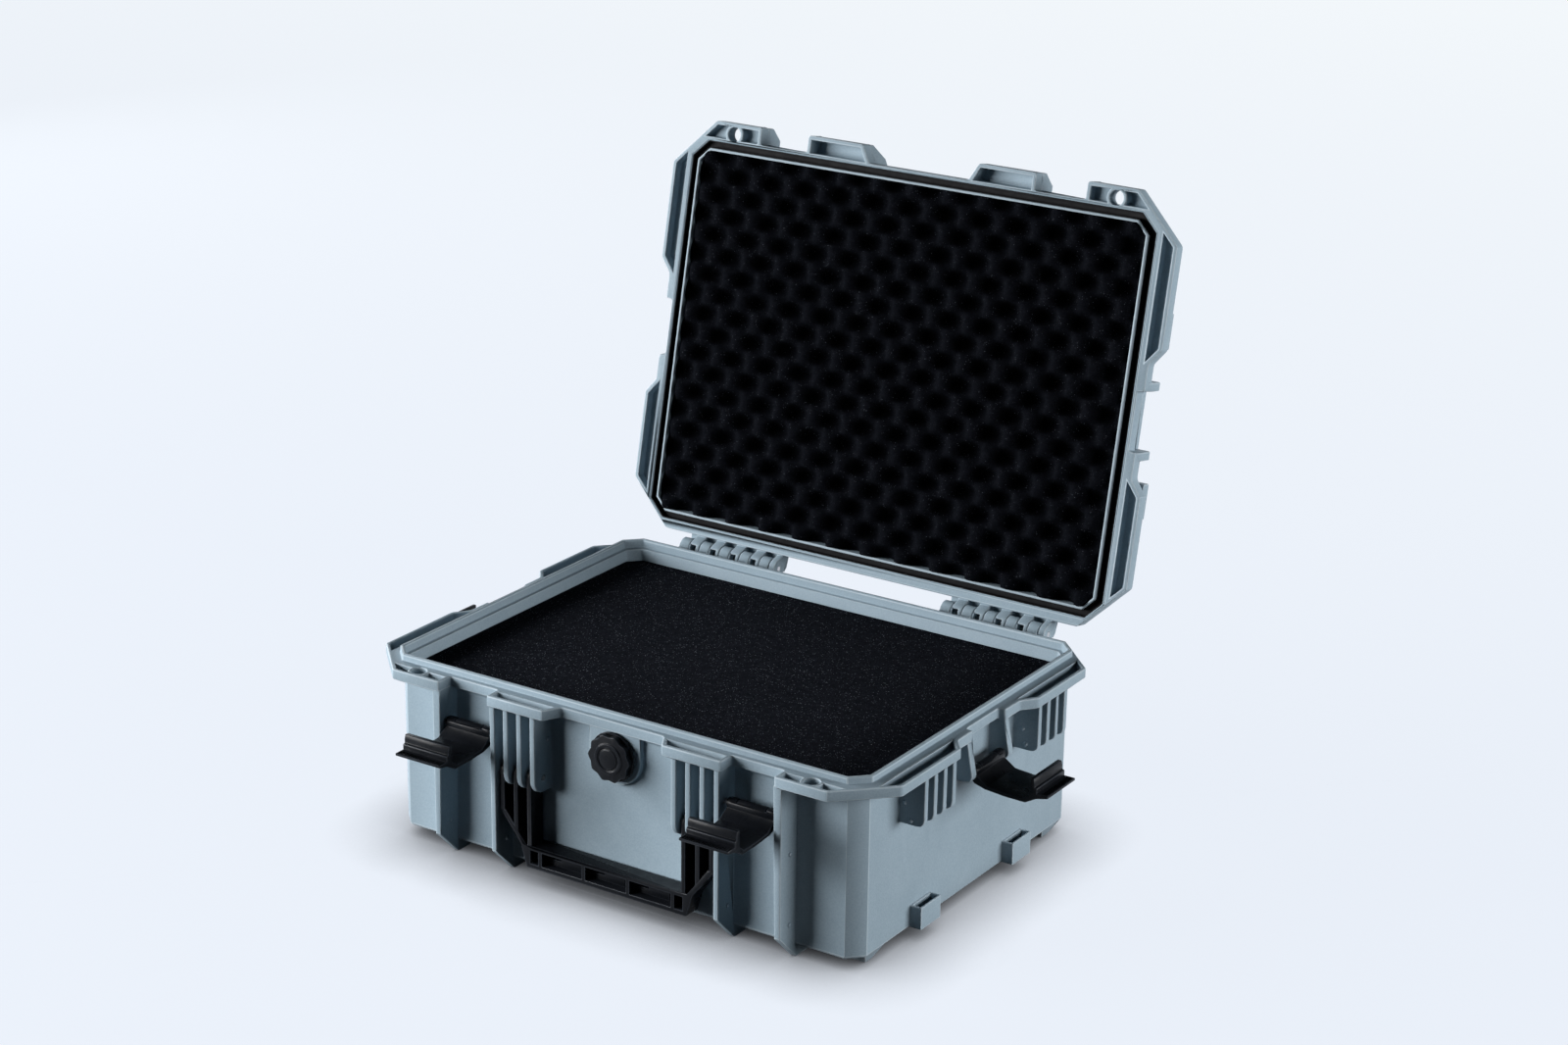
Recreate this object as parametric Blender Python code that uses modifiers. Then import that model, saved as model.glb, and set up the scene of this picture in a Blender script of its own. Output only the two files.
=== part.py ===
"""Waterproof equipment case, lid open: moulded shells, foam, latches, handle, hinges and purge valve.

Metres, +Z up. The origin is on the ground under the middle of the base, X runs along the width and
the front of the case faces -Y. The lid is modelled closed and then swung open about its hinge.
"""

import math

import bmesh
import bpy
from mathutils import Matrix

MM = 0.001
GAP = 0.3 * MM
WELD = 1.0e-7
FLAT_ANGLE = math.radians(0.05)

# Plain walls of both shells, and the heights of the base
BODY_WIDTH = 423.0 * MM
BODY_DEPTH = 310.0 * MM
BODY_CHAMFER = 11.5 * MM
WALL = 4.0 * MM
FLOOR = 4.0 * MM
RIM_Z = 148.4 * MM
RIM_BAND = 8.3 * MM
PANEL_DROP = 9.2 * MM
PANEL_INSET = 40.0 * MM
BODY_EDGE = 2.0 * MM

# Tongue on the base rim, and the lip, seal channel and heights of the lid
TONGUE_WIDTH = 3.4 * MM
TONGUE_RISE = 5.3 * MM
TONGUE_EDGE = 0.7 * MM
TONGUE_INSET = 0.4 * MM
LEDGE_DROP = 1.7 * MM
RIM_GUSSET = 3.5 * MM
LID_DEPTH = 38.5 * MM
LID_BAND = 11.0 * MM
LID_PANEL_RISE = 2.0 * MM
LID_PANEL_INSET = 18.0 * MM
LIP_WIDTH = 2.3 * MM
LIP_PROUD = 1.3 * MM
LIP_EDGE = 0.2 * MM
CHANNEL_WIDTH = 6.0 * MM
CHANNEL_LEAD = 0.4 * MM
COLLAR_WALL = 2.0 * MM
SEAL_HEIGHT = 3.0 * MM
SEAL_PLAY = 0.5 * MM
LID_OPEN = math.radians(102.1)

# How far the rim of both shells stands out from the walls
FRONT_REACH = 7.0 * MM
REAR_REACH = 12.2 * MM
LUG_REACH = 21.3 * MM
BULGE_REACH = 23.1 * MM
SHOULDER_REACH = 13.5 * MM
NOTCH_REACH = 7.5 * MM
FRONT_CORNER = 17.4 * MM
REAR_CORNER = 9.8 * MM
LUG_SETBACK = 60.2 * MM
LATCH_SPACE = 45.3 * MM
TAB_LENGTH = 52.0 * MM
TAB_SLANT = 7.7 * MM
NOTCH_HALF = 23.6 * MM
BULGE_FROM = 57.0 * MM
BULGE_SLANT = 12.0 * MM
RIM_ROUND = 2.0 * MM

# Open pockets in the rims, and the padlock holes in the corner lugs
POCKET_WALL = 3.2 * MM
POCKET_INNER = 10.0 * MM
BASE_POCKET_DEPTH = 6.4 * MM
LID_POCKET_DEPTH = 8.2 * MM
TAB_POCKET_DEPTH = 13.5 * MM
RING_WALL = 2.7 * MM
PADLOCK_RADIUS = 6.0 * MM
PADLOCK_FROM_LUG = 26.4 * MM
PADLOCK_OUT = 12.0 * MM

# Fins, pillars and feet of the base
FIN_INSET = 1.0 * MM
FIN_THICK = 4.6 * MM
FIN_PITCH = 12.5 * MM
SHORT_FINS = 3
COLUMN_INSET = 2.0 * MM
PILLAR_THICK = 7.2 * MM
PILLAR_INSET = 0.5 * MM
PILLAR_DRAFT = 2.6 * MM
FOOT_TOP = 21.7 * MM
FOOT_LENGTH = 35.0 * MM
FOOT_HEEL = 10.0 * MM
CORNER_FOOT = (25.5 * MM, 27.5 * MM)
CORNER_FOOT_TAPER = (0.59, 0.33)
CORNER_FOOT_INSET = (14.2 * MM, 25.7 * MM)
ROOT = 1.0 * MM
SEAM = 0.1 * MM
SIDE_FIN_THICK = 4.5 * MM
SIDE_FIN_PITCH = 13.0 * MM
SIDE_FINS = 4
SIDE_FIN_FROM = 60.5 * MM
SIDE_FIN_REACH = 21.7 * MM
SIDE_FIN_LOW = 102.2 * MM
SIDE_FIN_ROUND = 6.0 * MM
LATCH_PLATE = 6.4 * MM
CUP_CENTRES = (-70.8 * MM, 63.0 * MM)
CUP_WIDTH = 28.0 * MM
CUP_REACH = 10.0 * MM
CUP_LOW = 10.2 * MM
CUP_TOP = 28.2 * MM
CUP_WALL = 2.0 * MM

# Fins and lugs on the outside of the lid
CATCH_RISE = 2.5 * MM
CATCH_THICK = 3.1 * MM
GUSSET_THICK = 4.6 * MM
GUSSET_FRONT = 18.5 * MM
GUSSET_ROOT = 31.0 * MM
GUARD_THICK = 7.0 * MM
GUARD_REACH = 14.6 * MM
GUARD_DEPTH = 26.0 * MM
GUARD_EDGE = 2.0 * MM
STACK_LUG_LENGTH = 28.6 * MM
STACK_LUG_REACH = 18.0 * MM
STACK_LUG_LIFT = 14.0 * MM
STACK_LUG_THICK = 9.0 * MM

# Latches
LATCH_SIDE_GAP = 1.65 * MM
LATCH_OUT = 12.0 * MM
LATCH_Z = 114.2 * MM
LATCH_PLAY = 0.6 * MM
LATCH_HOOK = 2.2 * MM
LATCH_SKIN = 3.0 * MM
LATCH_BOW = 13.2 * MM
LATCH_LIP = 4.0 * MM
LATCH_TAB = 10.9 * MM
LATCH_TAB_SKIN = 1.9 * MM
BARREL_RADIUS = 4.5 * MM
BARREL_GROOVE = 0.9 * MM
BARREL_END = 8.5 * MM

# Pins
PIN_RADIUS = 2.0 * MM
PIN_SEAT = 3.4 * MM

# Hinges at the back
HINGE_OUT = 23.4 * MM
HINGE_DROP = 2.0 * MM
HINGE_RADIUS = 8.0 * MM
HOOD_CLEAR = 0.6 * MM
HOOD_BACK = 4.0 * MM
HINGE_FROM_SIDE = 84.5 * MM
KNUCKLE_PITCH = 10.0 * MM
KNUCKLE_GAP = 0.6 * MM
KNUCKLES = 9
END_PLATE = 5.6 * MM

# Carrying handle
HANDLE_OUT = 9.5 * MM
HANDLE_Z = 88.2 * MM
HANDLE_HALF_DEPTH = 7.5 * MM
FIN_NOSE = 11.0 * MM
WEB_THICK = 4.0 * MM
HANDLE_BACK = 3.0 * MM
HANDLE_BACK_TOP = 16.0 * MM
HANDLE_KINK = 31.0 * MM
HANDLE_SLANT = 18.5 * MM
GRIP_TOP = 55.0 * MM
GRIP_BOTTOM = 73.0 * MM
GRIP_TAPER = 5.5 * MM
GRIP_RIB = 3.6 * MM
GRIP_POCKETS = 3
GRIP_END_POCKET = 9.0 * MM

# Purge valve in the front wall
VALVE_Z = 120.2 * MM
VALVE_PAD = 46.4 * MM
VALVE_PAD_RISE = 4.2 * MM
VALVE_STEM = 9.9 * MM
VALVE_STEM_END = 13.0 * MM
VALVE_SPIGOT = 5.0 * MM
VALVE_SPIGOT_RISE = 3.6 * MM
VALVE_FLANGE = 19.4 * MM
VALVE_FLANGE_THICK = 1.8 * MM
VALVE_SEAL_THICK = 0.8 * MM
VALVE_NUT = 14.0 * MM
VALVE_NUT_THICK = 5.0 * MM
KNOB_RADIUS = 18.0 * MM
KNOB_LOBE = 0.9 * MM
KNOB_LOBES = 10
KNOB_THICK = 4.6 * MM
KNOB_CAP = 12.2 * MM
KNOB_CAP_RISE = 1.0 * MM
KNOB_GROOVE = (7.8 * MM, 9.4 * MM)
KNOB_GROOVE_DEPTH = 0.6 * MM

# Foam
FOAM_FIT = 0.4 * MM
FOAM_TOP = 137.2 * MM
FOAM_SPLIT = 81.2 * MM
FLOOR_PAD = 10.0 * MM
CRATE_STEP = 16.5 * MM
CRATE_DEPTH = 16.0 * MM
CRATE_PROUD = 4.0 * MM
VALVE_RECESS = 17.0 * MM

# Places that follow from the sizes above
HALF_X = BODY_WIDTH / 2
HALF_Y = BODY_DEPTH / 2
CORNER_CUT = BULGE_REACH + LUG_REACH + BODY_CHAMFER - FRONT_CORNER
REAR_CUT = BULGE_REACH + REAR_REACH + BODY_CHAMFER - REAR_CORNER
LUG_INNER = HALF_X - LUG_SETBACK
TAB_OUTER = LUG_INNER - LATCH_SPACE
TAB_INNER = TAB_OUTER - TAB_LENGTH
PADLOCK_X = LUG_INNER + PADLOCK_FROM_LUG
PADLOCK_Y = -HALF_Y - PADLOCK_OUT
BASE_BAND_Z = RIM_Z - RIM_BAND
TONGUE_Z = RIM_Z + TONGUE_RISE
LEDGE_Z = RIM_Z - LEDGE_DROP
LID_Z = RIM_Z + GAP
LID_TOP = LID_Z + LID_DEPTH
LID_BAND_TOP = LID_Z + LID_BAND
LIP_Z = LID_Z - LIP_PROUD
CHANNEL_IN = LIP_WIDTH - WALL
CHANNEL_OUT = CHANNEL_IN + CHANNEL_WIDTH
CHANNEL_TOP = TONGUE_Z + SEAL_PLAY + SEAL_HEIGHT + GAP
CATCH_TOP = LID_BAND_TOP + CATCH_RISE
HINGE_CENTRE = HALF_X - HINGE_FROM_SIDE
HINGE_Y = HALF_Y + HINGE_OUT
HINGE_Z = RIM_Z - HINGE_DROP
LATCH_CENTRE_X = (TAB_OUTER + LUG_INNER) / 2
LATCH_WIDTH = LATCH_SPACE - 2 * LATCH_SIDE_GAP
LATCH_LENGTH = CATCH_TOP + LATCH_PLAY - LATCH_Z
COLUMN_X = TAB_OUTER - COLUMN_INSET
FIN_REACH = LUG_REACH - FIN_INSET
HANDLE_Y = -HALF_Y - HANDLE_OUT
BORE_RADIUS = PIN_RADIUS + GAP
FIN_ROOT_Z = BASE_BAND_Z + 1.5 * MM

# Local axes of an outline (u, v) that is extruded along X or Y instead of Z
ALONG_X = Matrix(((0, 0, 1, 0), (1, 0, 0, 0), (0, 1, 0, 0), (0, 0, 0, 1)))
ALONG_Y = Matrix(((1, 0, 0, 0), (0, 0, 1, 0), (0, 1, 0, 0), (0, 0, 0, 1)))
ALONG_Z = Matrix.Identity(4)

MATERIALS = {
    "grey_shell": ((0.22, 0.27, 0.30), 0.5, 0.0),
    "black_plastic": ((0.012, 0.013, 0.015), 0.35, 0.0),
    "black_rubber": ((0.010, 0.010, 0.011), 0.6, 0.0),
    "black_foam": ((0.012, 0.012, 0.014), 0.95, 0.0),
    "steel_pin": ((0.55, 0.55, 0.56), 0.3, 1.0),
}


def clear_scene():
    """Remove every object of the start-up scene."""
    for item in list(bpy.data.objects):
        bpy.data.objects.remove(item, do_unlink=True)


def make_collection(name):
    """Add a collection to the scene."""
    collection = bpy.data.collections.new(name)
    bpy.context.scene.collection.children.link(collection)
    return collection


def make_material(name):
    """Principled material with the colour, roughness and metallic value listed above."""
    colour, roughness, metallic = MATERIALS[name]
    material = bpy.data.materials.new(name)
    material.use_nodes = True
    shader = material.node_tree.nodes["Principled BSDF"]
    shader.inputs["Base Color"].default_value = (*colour, 1.0)
    shader.inputs["Roughness"].default_value = roughness
    shader.inputs["Metallic"].default_value = metallic
    return material


def tidy_mesh(mesh):
    """Weld a mesh's caps to its sides, merge its flat faces and turn them outwards."""
    grid = bmesh.new()
    grid.from_mesh(mesh)
    bmesh.ops.remove_doubles(grid, verts=grid.verts, dist=WELD)
    bmesh.ops.dissolve_limit(grid, angle_limit=FLAT_ANGLE, verts=grid.verts, edges=grid.edges)
    bmesh.ops.recalc_face_normals(grid, faces=grid.faces)
    grid.to_mesh(mesh)
    grid.free()
    return mesh


def joined(meshes):
    """One mesh that holds all the given closed bodies."""
    grid = bmesh.new()
    for mesh in meshes:
        grid.from_mesh(mesh)
    result = bpy.data.meshes.new("joined")
    grid.to_mesh(result)
    grid.free()
    return result


def extruded(loops, low, high, turn=ALONG_Z):
    """Closed outlines, filled with any inner loop as a hole, and extruded from low to high."""
    curve = bpy.data.curves.new("outline", "CURVE")
    curve.dimensions = "2D"
    curve.fill_mode = "BOTH"
    curve.extrude = (high - low) / 2
    for loop in loops:
        spline = curve.splines.new("POLY")
        spline.points.add(len(loop) - 1)
        for point, (u, v) in zip(spline.points, loop):
            point.co = (u, v, 0.0, 1.0)
        spline.use_cyclic_u = True
    guide = bpy.data.objects.new("outline", curve)
    bpy.context.scene.collection.objects.link(guide)
    depsgraph = bpy.context.evaluated_depsgraph_get()
    mesh = bpy.data.meshes.new_from_object(guide.evaluated_get(depsgraph))
    bpy.data.objects.remove(guide, do_unlink=True)
    mesh.transform(turn @ Matrix.Translation((0, 0, (low + high) / 2)))
    return tidy_mesh(mesh)


def block(low, high):
    """Box between two corners."""
    grid = bmesh.new()
    middle = [(a + b) / 2 for a, b in zip(low, high)]
    size = [b - a for a, b in zip(low, high)]
    bmesh.ops.create_cube(grid, size=1.0, matrix=Matrix.Translation(middle) @ Matrix.Diagonal((*size, 1)))
    mesh = bpy.data.meshes.new("block")
    grid.to_mesh(mesh)
    grid.free()
    return mesh


def rod(u, v, radius, low, high, turn, sides=16):
    """Round bar along one axis, centred on (u, v) of the other two."""
    grid = bmesh.new()
    place = turn @ Matrix.Translation((u, v, (low + high) / 2))
    bmesh.ops.create_cone(
        grid, cap_ends=True, segments=sides, radius1=radius, radius2=radius, depth=high - low, matrix=place
    )
    mesh = bpy.data.meshes.new("rod")
    grid.to_mesh(mesh)
    grid.free()
    return tidy_mesh(mesh)


def arc(u, v, radius, start, end, steps):
    """Points on an arc, angles in degrees, both ends included."""
    angles = [math.radians(start + (end - start) * i / steps) for i in range(steps + 1)]
    return [(u + radius * math.cos(a), v + radius * math.sin(a)) for a in angles]


def rounded(points, radius, steps=2):
    """Closed outline with each corner replaced by a short curve tangent to its two sides."""
    result = []
    count = len(points)
    for i, (x, y) in enumerate(points):
        ends = []
        for other_x, other_y in (points[i - 1], points[(i + 1) % count]):
            length = math.hypot(other_x - x, other_y - y)
            share = min(radius, 0.45 * length) / length
            ends.append((x + (other_x - x) * share, y + (other_y - y) * share))
        for k in range(steps + 1):
            t = k / steps
            weights = ((1 - t) ** 2, 2 * t * (1 - t), t * t)
            corner = (ends[0], (x, y), ends[1])
            result.append(tuple(sum(w * p[axis] for w, p in zip(weights, corner)) for axis in (0, 1)))
    return result


def mirrored(points):
    """Outline mirrored to the other side of the case."""
    return [(-u, v) for u, v in points]


def body_ring(offset):
    """Eight-sided plan of the walls, grown outwards by offset."""
    x = HALF_X + offset
    y = HALF_Y + offset
    cut = max(ROOT, BODY_CHAMFER + offset * (2 - math.sqrt(2)))
    return [
        (x - cut, -y), (x, -y + cut), (x, y - cut), (x - cut, y),
        (-x + cut, y), (-x, y - cut), (-x, -y + cut), (-x + cut, -y),
    ]


def wall_loft(stations):
    """Closed shell whose plan follows the walls, through stations of (offset, height)."""
    grid = bmesh.new()
    rings = []
    for offset, height in stations:
        rings.append([grid.verts.new((x, y, height)) for x, y in body_ring(offset)])
    for lower, upper in zip(rings, rings[1:]):
        for i in range(len(lower)):
            j = (i + 1) % len(lower)
            grid.faces.new((lower[i], lower[j], upper[j], upper[i]))
    grid.faces.new(rings[0])
    grid.faces.new(rings[-1])
    mesh = bpy.data.meshes.new("wall_loft")
    grid.to_mesh(mesh)
    grid.free()
    return tidy_mesh(mesh)


def rim_outline():
    """Plan of the rim that both shells share: front tabs and lugs, side bulges and latch notches."""
    front = -HALF_Y - FRONT_REACH
    lug = -HALF_Y - LUG_REACH
    bulge = HALF_X + BULGE_REACH
    shoulder = HALF_X + SHOULDER_REACH
    notch = HALF_X + NOTCH_REACH
    rear = HALF_Y + REAR_REACH
    half = [
        (TAB_INNER - TAB_SLANT, front), (TAB_INNER, lug), (TAB_OUTER, lug), (TAB_OUTER, front),
        (LUG_INNER, front), (LUG_INNER, lug), (bulge - CORNER_CUT, lug), (bulge, lug + CORNER_CUT),
        (bulge, -BULGE_FROM), (shoulder, -BULGE_FROM + BULGE_SLANT),
        (shoulder, -NOTCH_HALF), (notch, -NOTCH_HALF), (notch, NOTCH_HALF), (shoulder, NOTCH_HALF),
        (shoulder, BULGE_FROM - BULGE_SLANT), (bulge, BULGE_FROM),
        (bulge, rear - REAR_CUT), (bulge - REAR_CUT, rear),
    ]
    return rounded(half + mirrored(reversed(half)), RIM_ROUND)


def pocket_outlines(reach_in):
    """Plans of a rim's open pockets on the right: the tab's, then the lug's two and the side's two."""
    slope = POCKET_WALL * math.sqrt(2)
    inner = HALF_X + POCKET_INNER
    outer = HALF_X + BULGE_REACH - POCKET_WALL
    front_line = HALF_X + BULGE_REACH + HALF_Y + LUG_REACH - CORNER_CUT - slope
    rear_line = HALF_X + BULGE_REACH + HALF_Y + REAR_REACH - REAR_CUT - slope
    lug_out = -HALF_Y - LUG_REACH + POCKET_WALL
    lug_in = -HALF_Y - reach_in
    bulge_end = BULGE_FROM + POCKET_WALL / 2
    slant_end = BULGE_FROM - BULGE_SLANT + POCKET_WALL / 2
    ring = PADLOCK_RADIUS + RING_WALL
    low, high = (math.degrees(math.asin((y - PADLOCK_Y) / ring)) for y in (lug_out, lug_in))
    lean = TAB_SLANT / (LUG_REACH - FRONT_REACH)
    tab_end = TAB_INNER + POCKET_WALL * math.hypot(1, lean) - lean * POCKET_WALL
    return [
        [(tab_end, lug_out), (TAB_OUTER - POCKET_WALL, lug_out), (TAB_OUTER - POCKET_WALL, lug_in),
         (tab_end - lean * (lug_in - lug_out), lug_in)],
        [(LUG_INNER + POCKET_WALL, lug_out), *arc(PADLOCK_X, PADLOCK_Y, ring, 180 - low, 180 - high, 6),
         (LUG_INNER + POCKET_WALL, lug_in)],
        [(front_line + lug_out, lug_out), (front_line + lug_in, lug_in),
         *arc(PADLOCK_X, PADLOCK_Y, ring, high, low, 6)],
        [(inner, inner - front_line), (outer, outer - front_line), (outer, -bulge_end), (inner, -slant_end)],
        [(inner, slant_end), (outer, bulge_end), (outer, rear_line - outer), (inner, rear_line - inner)],
    ]


def rim_cutters(mating, floors, reach_in, hole_low, hole_high):
    """Cutters for a rim's pockets, from its mating plane to each floor, and for the padlock holes."""
    cutters = []
    for outline, floor in zip(pocket_outlines(reach_in), floors):
        edges = sorted((mating, floor))
        cutters += [extruded([points], *edges) for points in (outline, mirrored(outline))]
    for side in (-1, 1):
        cutters.append(rod(side * PADLOCK_X, PADLOCK_Y, PADLOCK_RADIUS, hole_low, hole_high, ALONG_Z, 20))
    return cutters


def fin_starts():
    """Distance of each short fin's inner face from the middle, from the handle's inner fin outwards."""
    return [COLUMN_X - FIN_THICK - FIN_PITCH * i for i in range(SHORT_FINS, 0, -1)]


def web_centres():
    """Distance of each handle web from the middle: one in each slot between the fins."""
    faces = fin_starts() + [COLUMN_X - FIN_THICK]
    return [(near + FIN_THICK + far) / 2 for near, far in zip(faces, faces[1:])]


def front_fins():
    """Fins and columns round the handle, and the pillars under the corner lugs."""
    root = -HALF_Y + ROOT
    front = -HALF_Y - FIN_REACH
    nose = arc(HANDLE_Y, HANDLE_Z, FIN_NOSE, 180, 270, 5)
    short = [(root, FIN_ROOT_Z), (front, FIN_ROOT_Z), *nose, (root, HANDLE_Z - FIN_NOSE)]
    face = -HALF_Y - LUG_REACH + PILLAR_INSET
    solids = []
    for side in (-1, 1):
        for start in fin_starts():
            edges = sorted((side * start, side * (start + FIN_THICK)))
            solids.append(extruded([short], *edges, ALONG_X))
        for start, thick, reach in (
            (COLUMN_X - FIN_THICK, FIN_THICK, front),
            (LUG_INNER - PILLAR_INSET, PILLAR_THICK, face),
        ):
            heel = -HALF_Y + FOOT_LENGTH
            tall = [
                (root, FIN_ROOT_Z), (reach, FIN_ROOT_Z), (reach, FOOT_TOP), (reach + FOOT_TOP, 0.0),
                (heel, 0.0), (heel + FOOT_HEEL, PANEL_DROP + ROOT), (root, PANEL_DROP + ROOT),
            ]
            edges = sorted((side * start, side * (start + thick)))
            mesh = extruded([tall], *edges, ALONG_X)
            for vert in mesh.vertices:
                if thick == PILLAR_THICK and abs(vert.co.x) < start + thick / 2:
                    vert.co.x += side * PILLAR_DRAFT * (1 - vert.co.z / FIN_ROOT_Z)
            solids.append(mesh)
    return solids


def corner_feet():
    """Tapered feet under the four corners of the base."""
    solids = []
    size = (*CORNER_FOOT, PANEL_DROP + ROOT)
    for side in (-1, 1):
        for end in (-1, 1):
            middle = (side * (HALF_X - CORNER_FOOT_INSET[0]), end * (HALF_Y - CORNER_FOOT_INSET[1]), size[2] / 2)
            low = [m - s / 2 for m, s in zip(middle, size)]
            high = [m + s / 2 for m, s in zip(middle, size)]
            mesh = block(low, high)
            for vert in mesh.vertices:
                if vert.co.z < middle[2]:
                    for axis in (0, 1):
                        vert.co[axis] = middle[axis] + (vert.co[axis] - middle[axis]) * CORNER_FOOT_TAPER[axis]
            solids.append(mesh)
    return solids


def side_fins():
    """Fin blocks and latch plates on both side walls."""
    root = HALF_X - ROOT
    reach = HALF_X + SIDE_FIN_REACH
    heel = arc(reach - SIDE_FIN_ROUND, SIDE_FIN_LOW + SIDE_FIN_ROUND, SIDE_FIN_ROUND, 0, -90, 4)
    fin = [(root, FIN_ROOT_Z), (reach, FIN_ROOT_Z), *heel, (root, SIDE_FIN_LOW)]
    boss = BARREL_RADIUS + ROOT
    nose = arc(HALF_X + LATCH_OUT, LATCH_Z, boss, 20, -90, 5)
    plate = [
        (root, FIN_ROOT_Z), (HALF_X + SHOULDER_REACH - ROOT, FIN_ROOT_Z), *nose, (root, LATCH_Z - boss),
    ]
    starts = [(SIDE_FIN_FROM + SIDE_FIN_PITCH * i, SIDE_FIN_THICK, fin) for i in range(SIDE_FINS)]
    starts.append((NOTCH_HALF, LATCH_PLATE, plate))
    solids = []
    for outline_of in (list, mirrored):
        for start, thick, outline in starts:
            for end in (-1, 1):
                edges = sorted((end * start, end * (start + thick)))
                solids.append(extruded([outline_of(outline)], *edges, ALONG_Y))
    return solids


def side_boxes(low_x, high_x, centres, half_width, low_z, high_z):
    """The same box at each centre along both side walls."""
    solids = []
    for side in (-1, 1):
        x_edges = sorted((side * low_x, side * high_x))
        for centre in centres:
            low = (x_edges[0], centre - half_width, low_z)
            high = (x_edges[1], centre + half_width, high_z)
            solids.append(block(low, high))
    return solids


def knuckle_spans(of_lid):
    """Ranges along X of the hinge knuckles that belong to the lid or to the base."""
    spans = []
    length = KNUCKLES * KNUCKLE_PITCH + END_PLATE
    for centre in (-HINGE_CENTRE, HINGE_CENTRE):
        start = centre - length / 2
        for i in range(KNUCKLES):
            if (i % 2 == 1) == of_lid:
                spans.append((start + i * KNUCKLE_PITCH, start + (i + 1) * KNUCKLE_PITCH - KNUCKLE_GAP))
        if of_lid:
            spans.append((start + KNUCKLES * KNUCKLE_PITCH, start + length))
    return spans


def knuckles(outline, of_lid):
    """Hinge knuckles of one shell, with the arms that carry them."""
    return [extruded([outline], low, high, ALONG_X) for low, high in knuckle_spans(of_lid)]


def base_knuckles():
    """Knuckles on the base: barrels on arms from the rear edge of its rim."""
    rear = HALF_Y + REAR_REACH
    barrel = arc(HINGE_Y, HINGE_Z, HINGE_RADIUS, -105, 162, 16)
    outline = [(rear - ROOT, BASE_BAND_Z + ROOT), *barrel, (rear + ROOT, RIM_Z - GAP), (rear - ROOT, RIM_Z - GAP)]
    return knuckles(outline, False)


def lid_knuckles():
    """Knuckles on the lid: barrels on arms from the rear edge of its rim."""
    rear = HALF_Y + REAR_REACH
    barrel = arc(HINGE_Y, HINGE_Z, HINGE_RADIUS, 200, 420, 14)
    outline = [
        (rear - ROOT, LID_Z + GAP), (rear + ROOT, LID_Z + GAP), *barrel,
        (rear + LID_BAND / 4, LID_BAND_TOP - ROOT), (rear - ROOT, LID_BAND_TOP - ROOT),
    ]
    return knuckles(outline, True)


def lid_hoods():
    """Strips of the lid's rim that cover the knuckles of each hinge."""
    rear = HALF_Y + REAR_REACH
    hood_z = HINGE_Z + HINGE_RADIUS + HOOD_CLEAR
    hood_top = LID_BAND_TOP - 1.3 * ROOT
    half = (KNUCKLES * KNUCKLE_PITCH + END_PLATE) / 2 - GAP
    hood = [
        (rear - 1.3 * ROOT, hood_z), (HINGE_Y + HOOD_BACK, hood_z),
        (HINGE_Y, hood_top), (rear - 1.3 * ROOT, hood_top),
    ]
    return [extruded([hood], c - half, c + half, ALONG_X) for c in (-HINGE_CENTRE, HINGE_CENTRE)]


def hinge_bores():
    """Cutters for the two hinge pins."""
    half = (KNUCKLES * KNUCKLE_PITCH + END_PLATE) / 2 + ROOT
    centres = (-HINGE_CENTRE, HINGE_CENTRE)
    return [rod(HINGE_Y, HINGE_Z, BORE_RADIUS, c - half, c + half, ALONG_X, 12) for c in centres]


def front_latch_pin_span():
    """Range along X, on the right, of a front latch pin: from inside the column to inside the pillar."""
    return COLUMN_X - PIN_SEAT, LUG_INNER - PILLAR_INSET + PIN_SEAT


def handle_pin_span():
    """Range along X, on the right, of a handle pin: from the inner fin into the column."""
    return fin_starts()[0] + GAP, COLUMN_X - FIN_THICK + PIN_SEAT


def base_bores():
    """Cutters for the pins of the latches, handle and hinges, and for the valve."""
    cutters = hinge_bores()
    side_seat = NOTCH_HALF + PIN_SEAT + GAP
    for side in (-1, 1):
        low, high = front_latch_pin_span()
        edges = sorted((side * (low - GAP), side * (high + GAP)))
        cutters.append(rod(-HALF_Y - LATCH_OUT, LATCH_Z, BORE_RADIUS, *edges, ALONG_X, 12))
        low, high = handle_pin_span()
        edges = sorted((side * (low - ROOT), side * (high + GAP)))
        cutters.append(rod(HANDLE_Y, HANDLE_Z, BORE_RADIUS, *edges, ALONG_X, 12))
        place = side * (HALF_X + LATCH_OUT)
        cutters.append(rod(place, LATCH_Z, BORE_RADIUS, -side_seat, side_seat, ALONG_Y, 12))
    outside = -HALF_Y - VALVE_PAD_RISE - ROOT
    inside = -HALF_Y + WALL + ROOT
    cutters.append(rod(0, VALVE_Z, VALVE_STEM + GAP, outside, inside, ALONG_Y, 24))
    return cutters


def base_walls():
    """Tub with its floor, bottom panel, inner ledge and the tongue that meets the lid's seal."""
    tongue_in = -TONGUE_INSET
    tongue_out = tongue_in + TONGUE_WIDTH
    return wall_loft([
        (-PANEL_INSET, 0.0),
        (-PANEL_INSET + BODY_EDGE, PANEL_DROP),
        (-BODY_EDGE, PANEL_DROP),
        (0.0, PANEL_DROP + BODY_EDGE),
        (0.0, BASE_BAND_Z - RIM_GUSSET - ROOT),
        (tongue_out, BASE_BAND_Z - ROOT),
        (tongue_out, TONGUE_Z - TONGUE_EDGE),
        (tongue_out - TONGUE_EDGE, TONGUE_Z),
        (tongue_in + TONGUE_EDGE, TONGUE_Z),
        (tongue_in, TONGUE_Z - TONGUE_EDGE),
        (tongue_in, LEDGE_Z),
        (-WALL, LEDGE_Z),
        (-WALL, PANEL_DROP + FLOOR),
        (-PANEL_INSET + BODY_EDGE - WALL, PANEL_DROP + FLOOR),
        (-PANEL_INSET - WALL, FLOOR),
    ])


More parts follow.
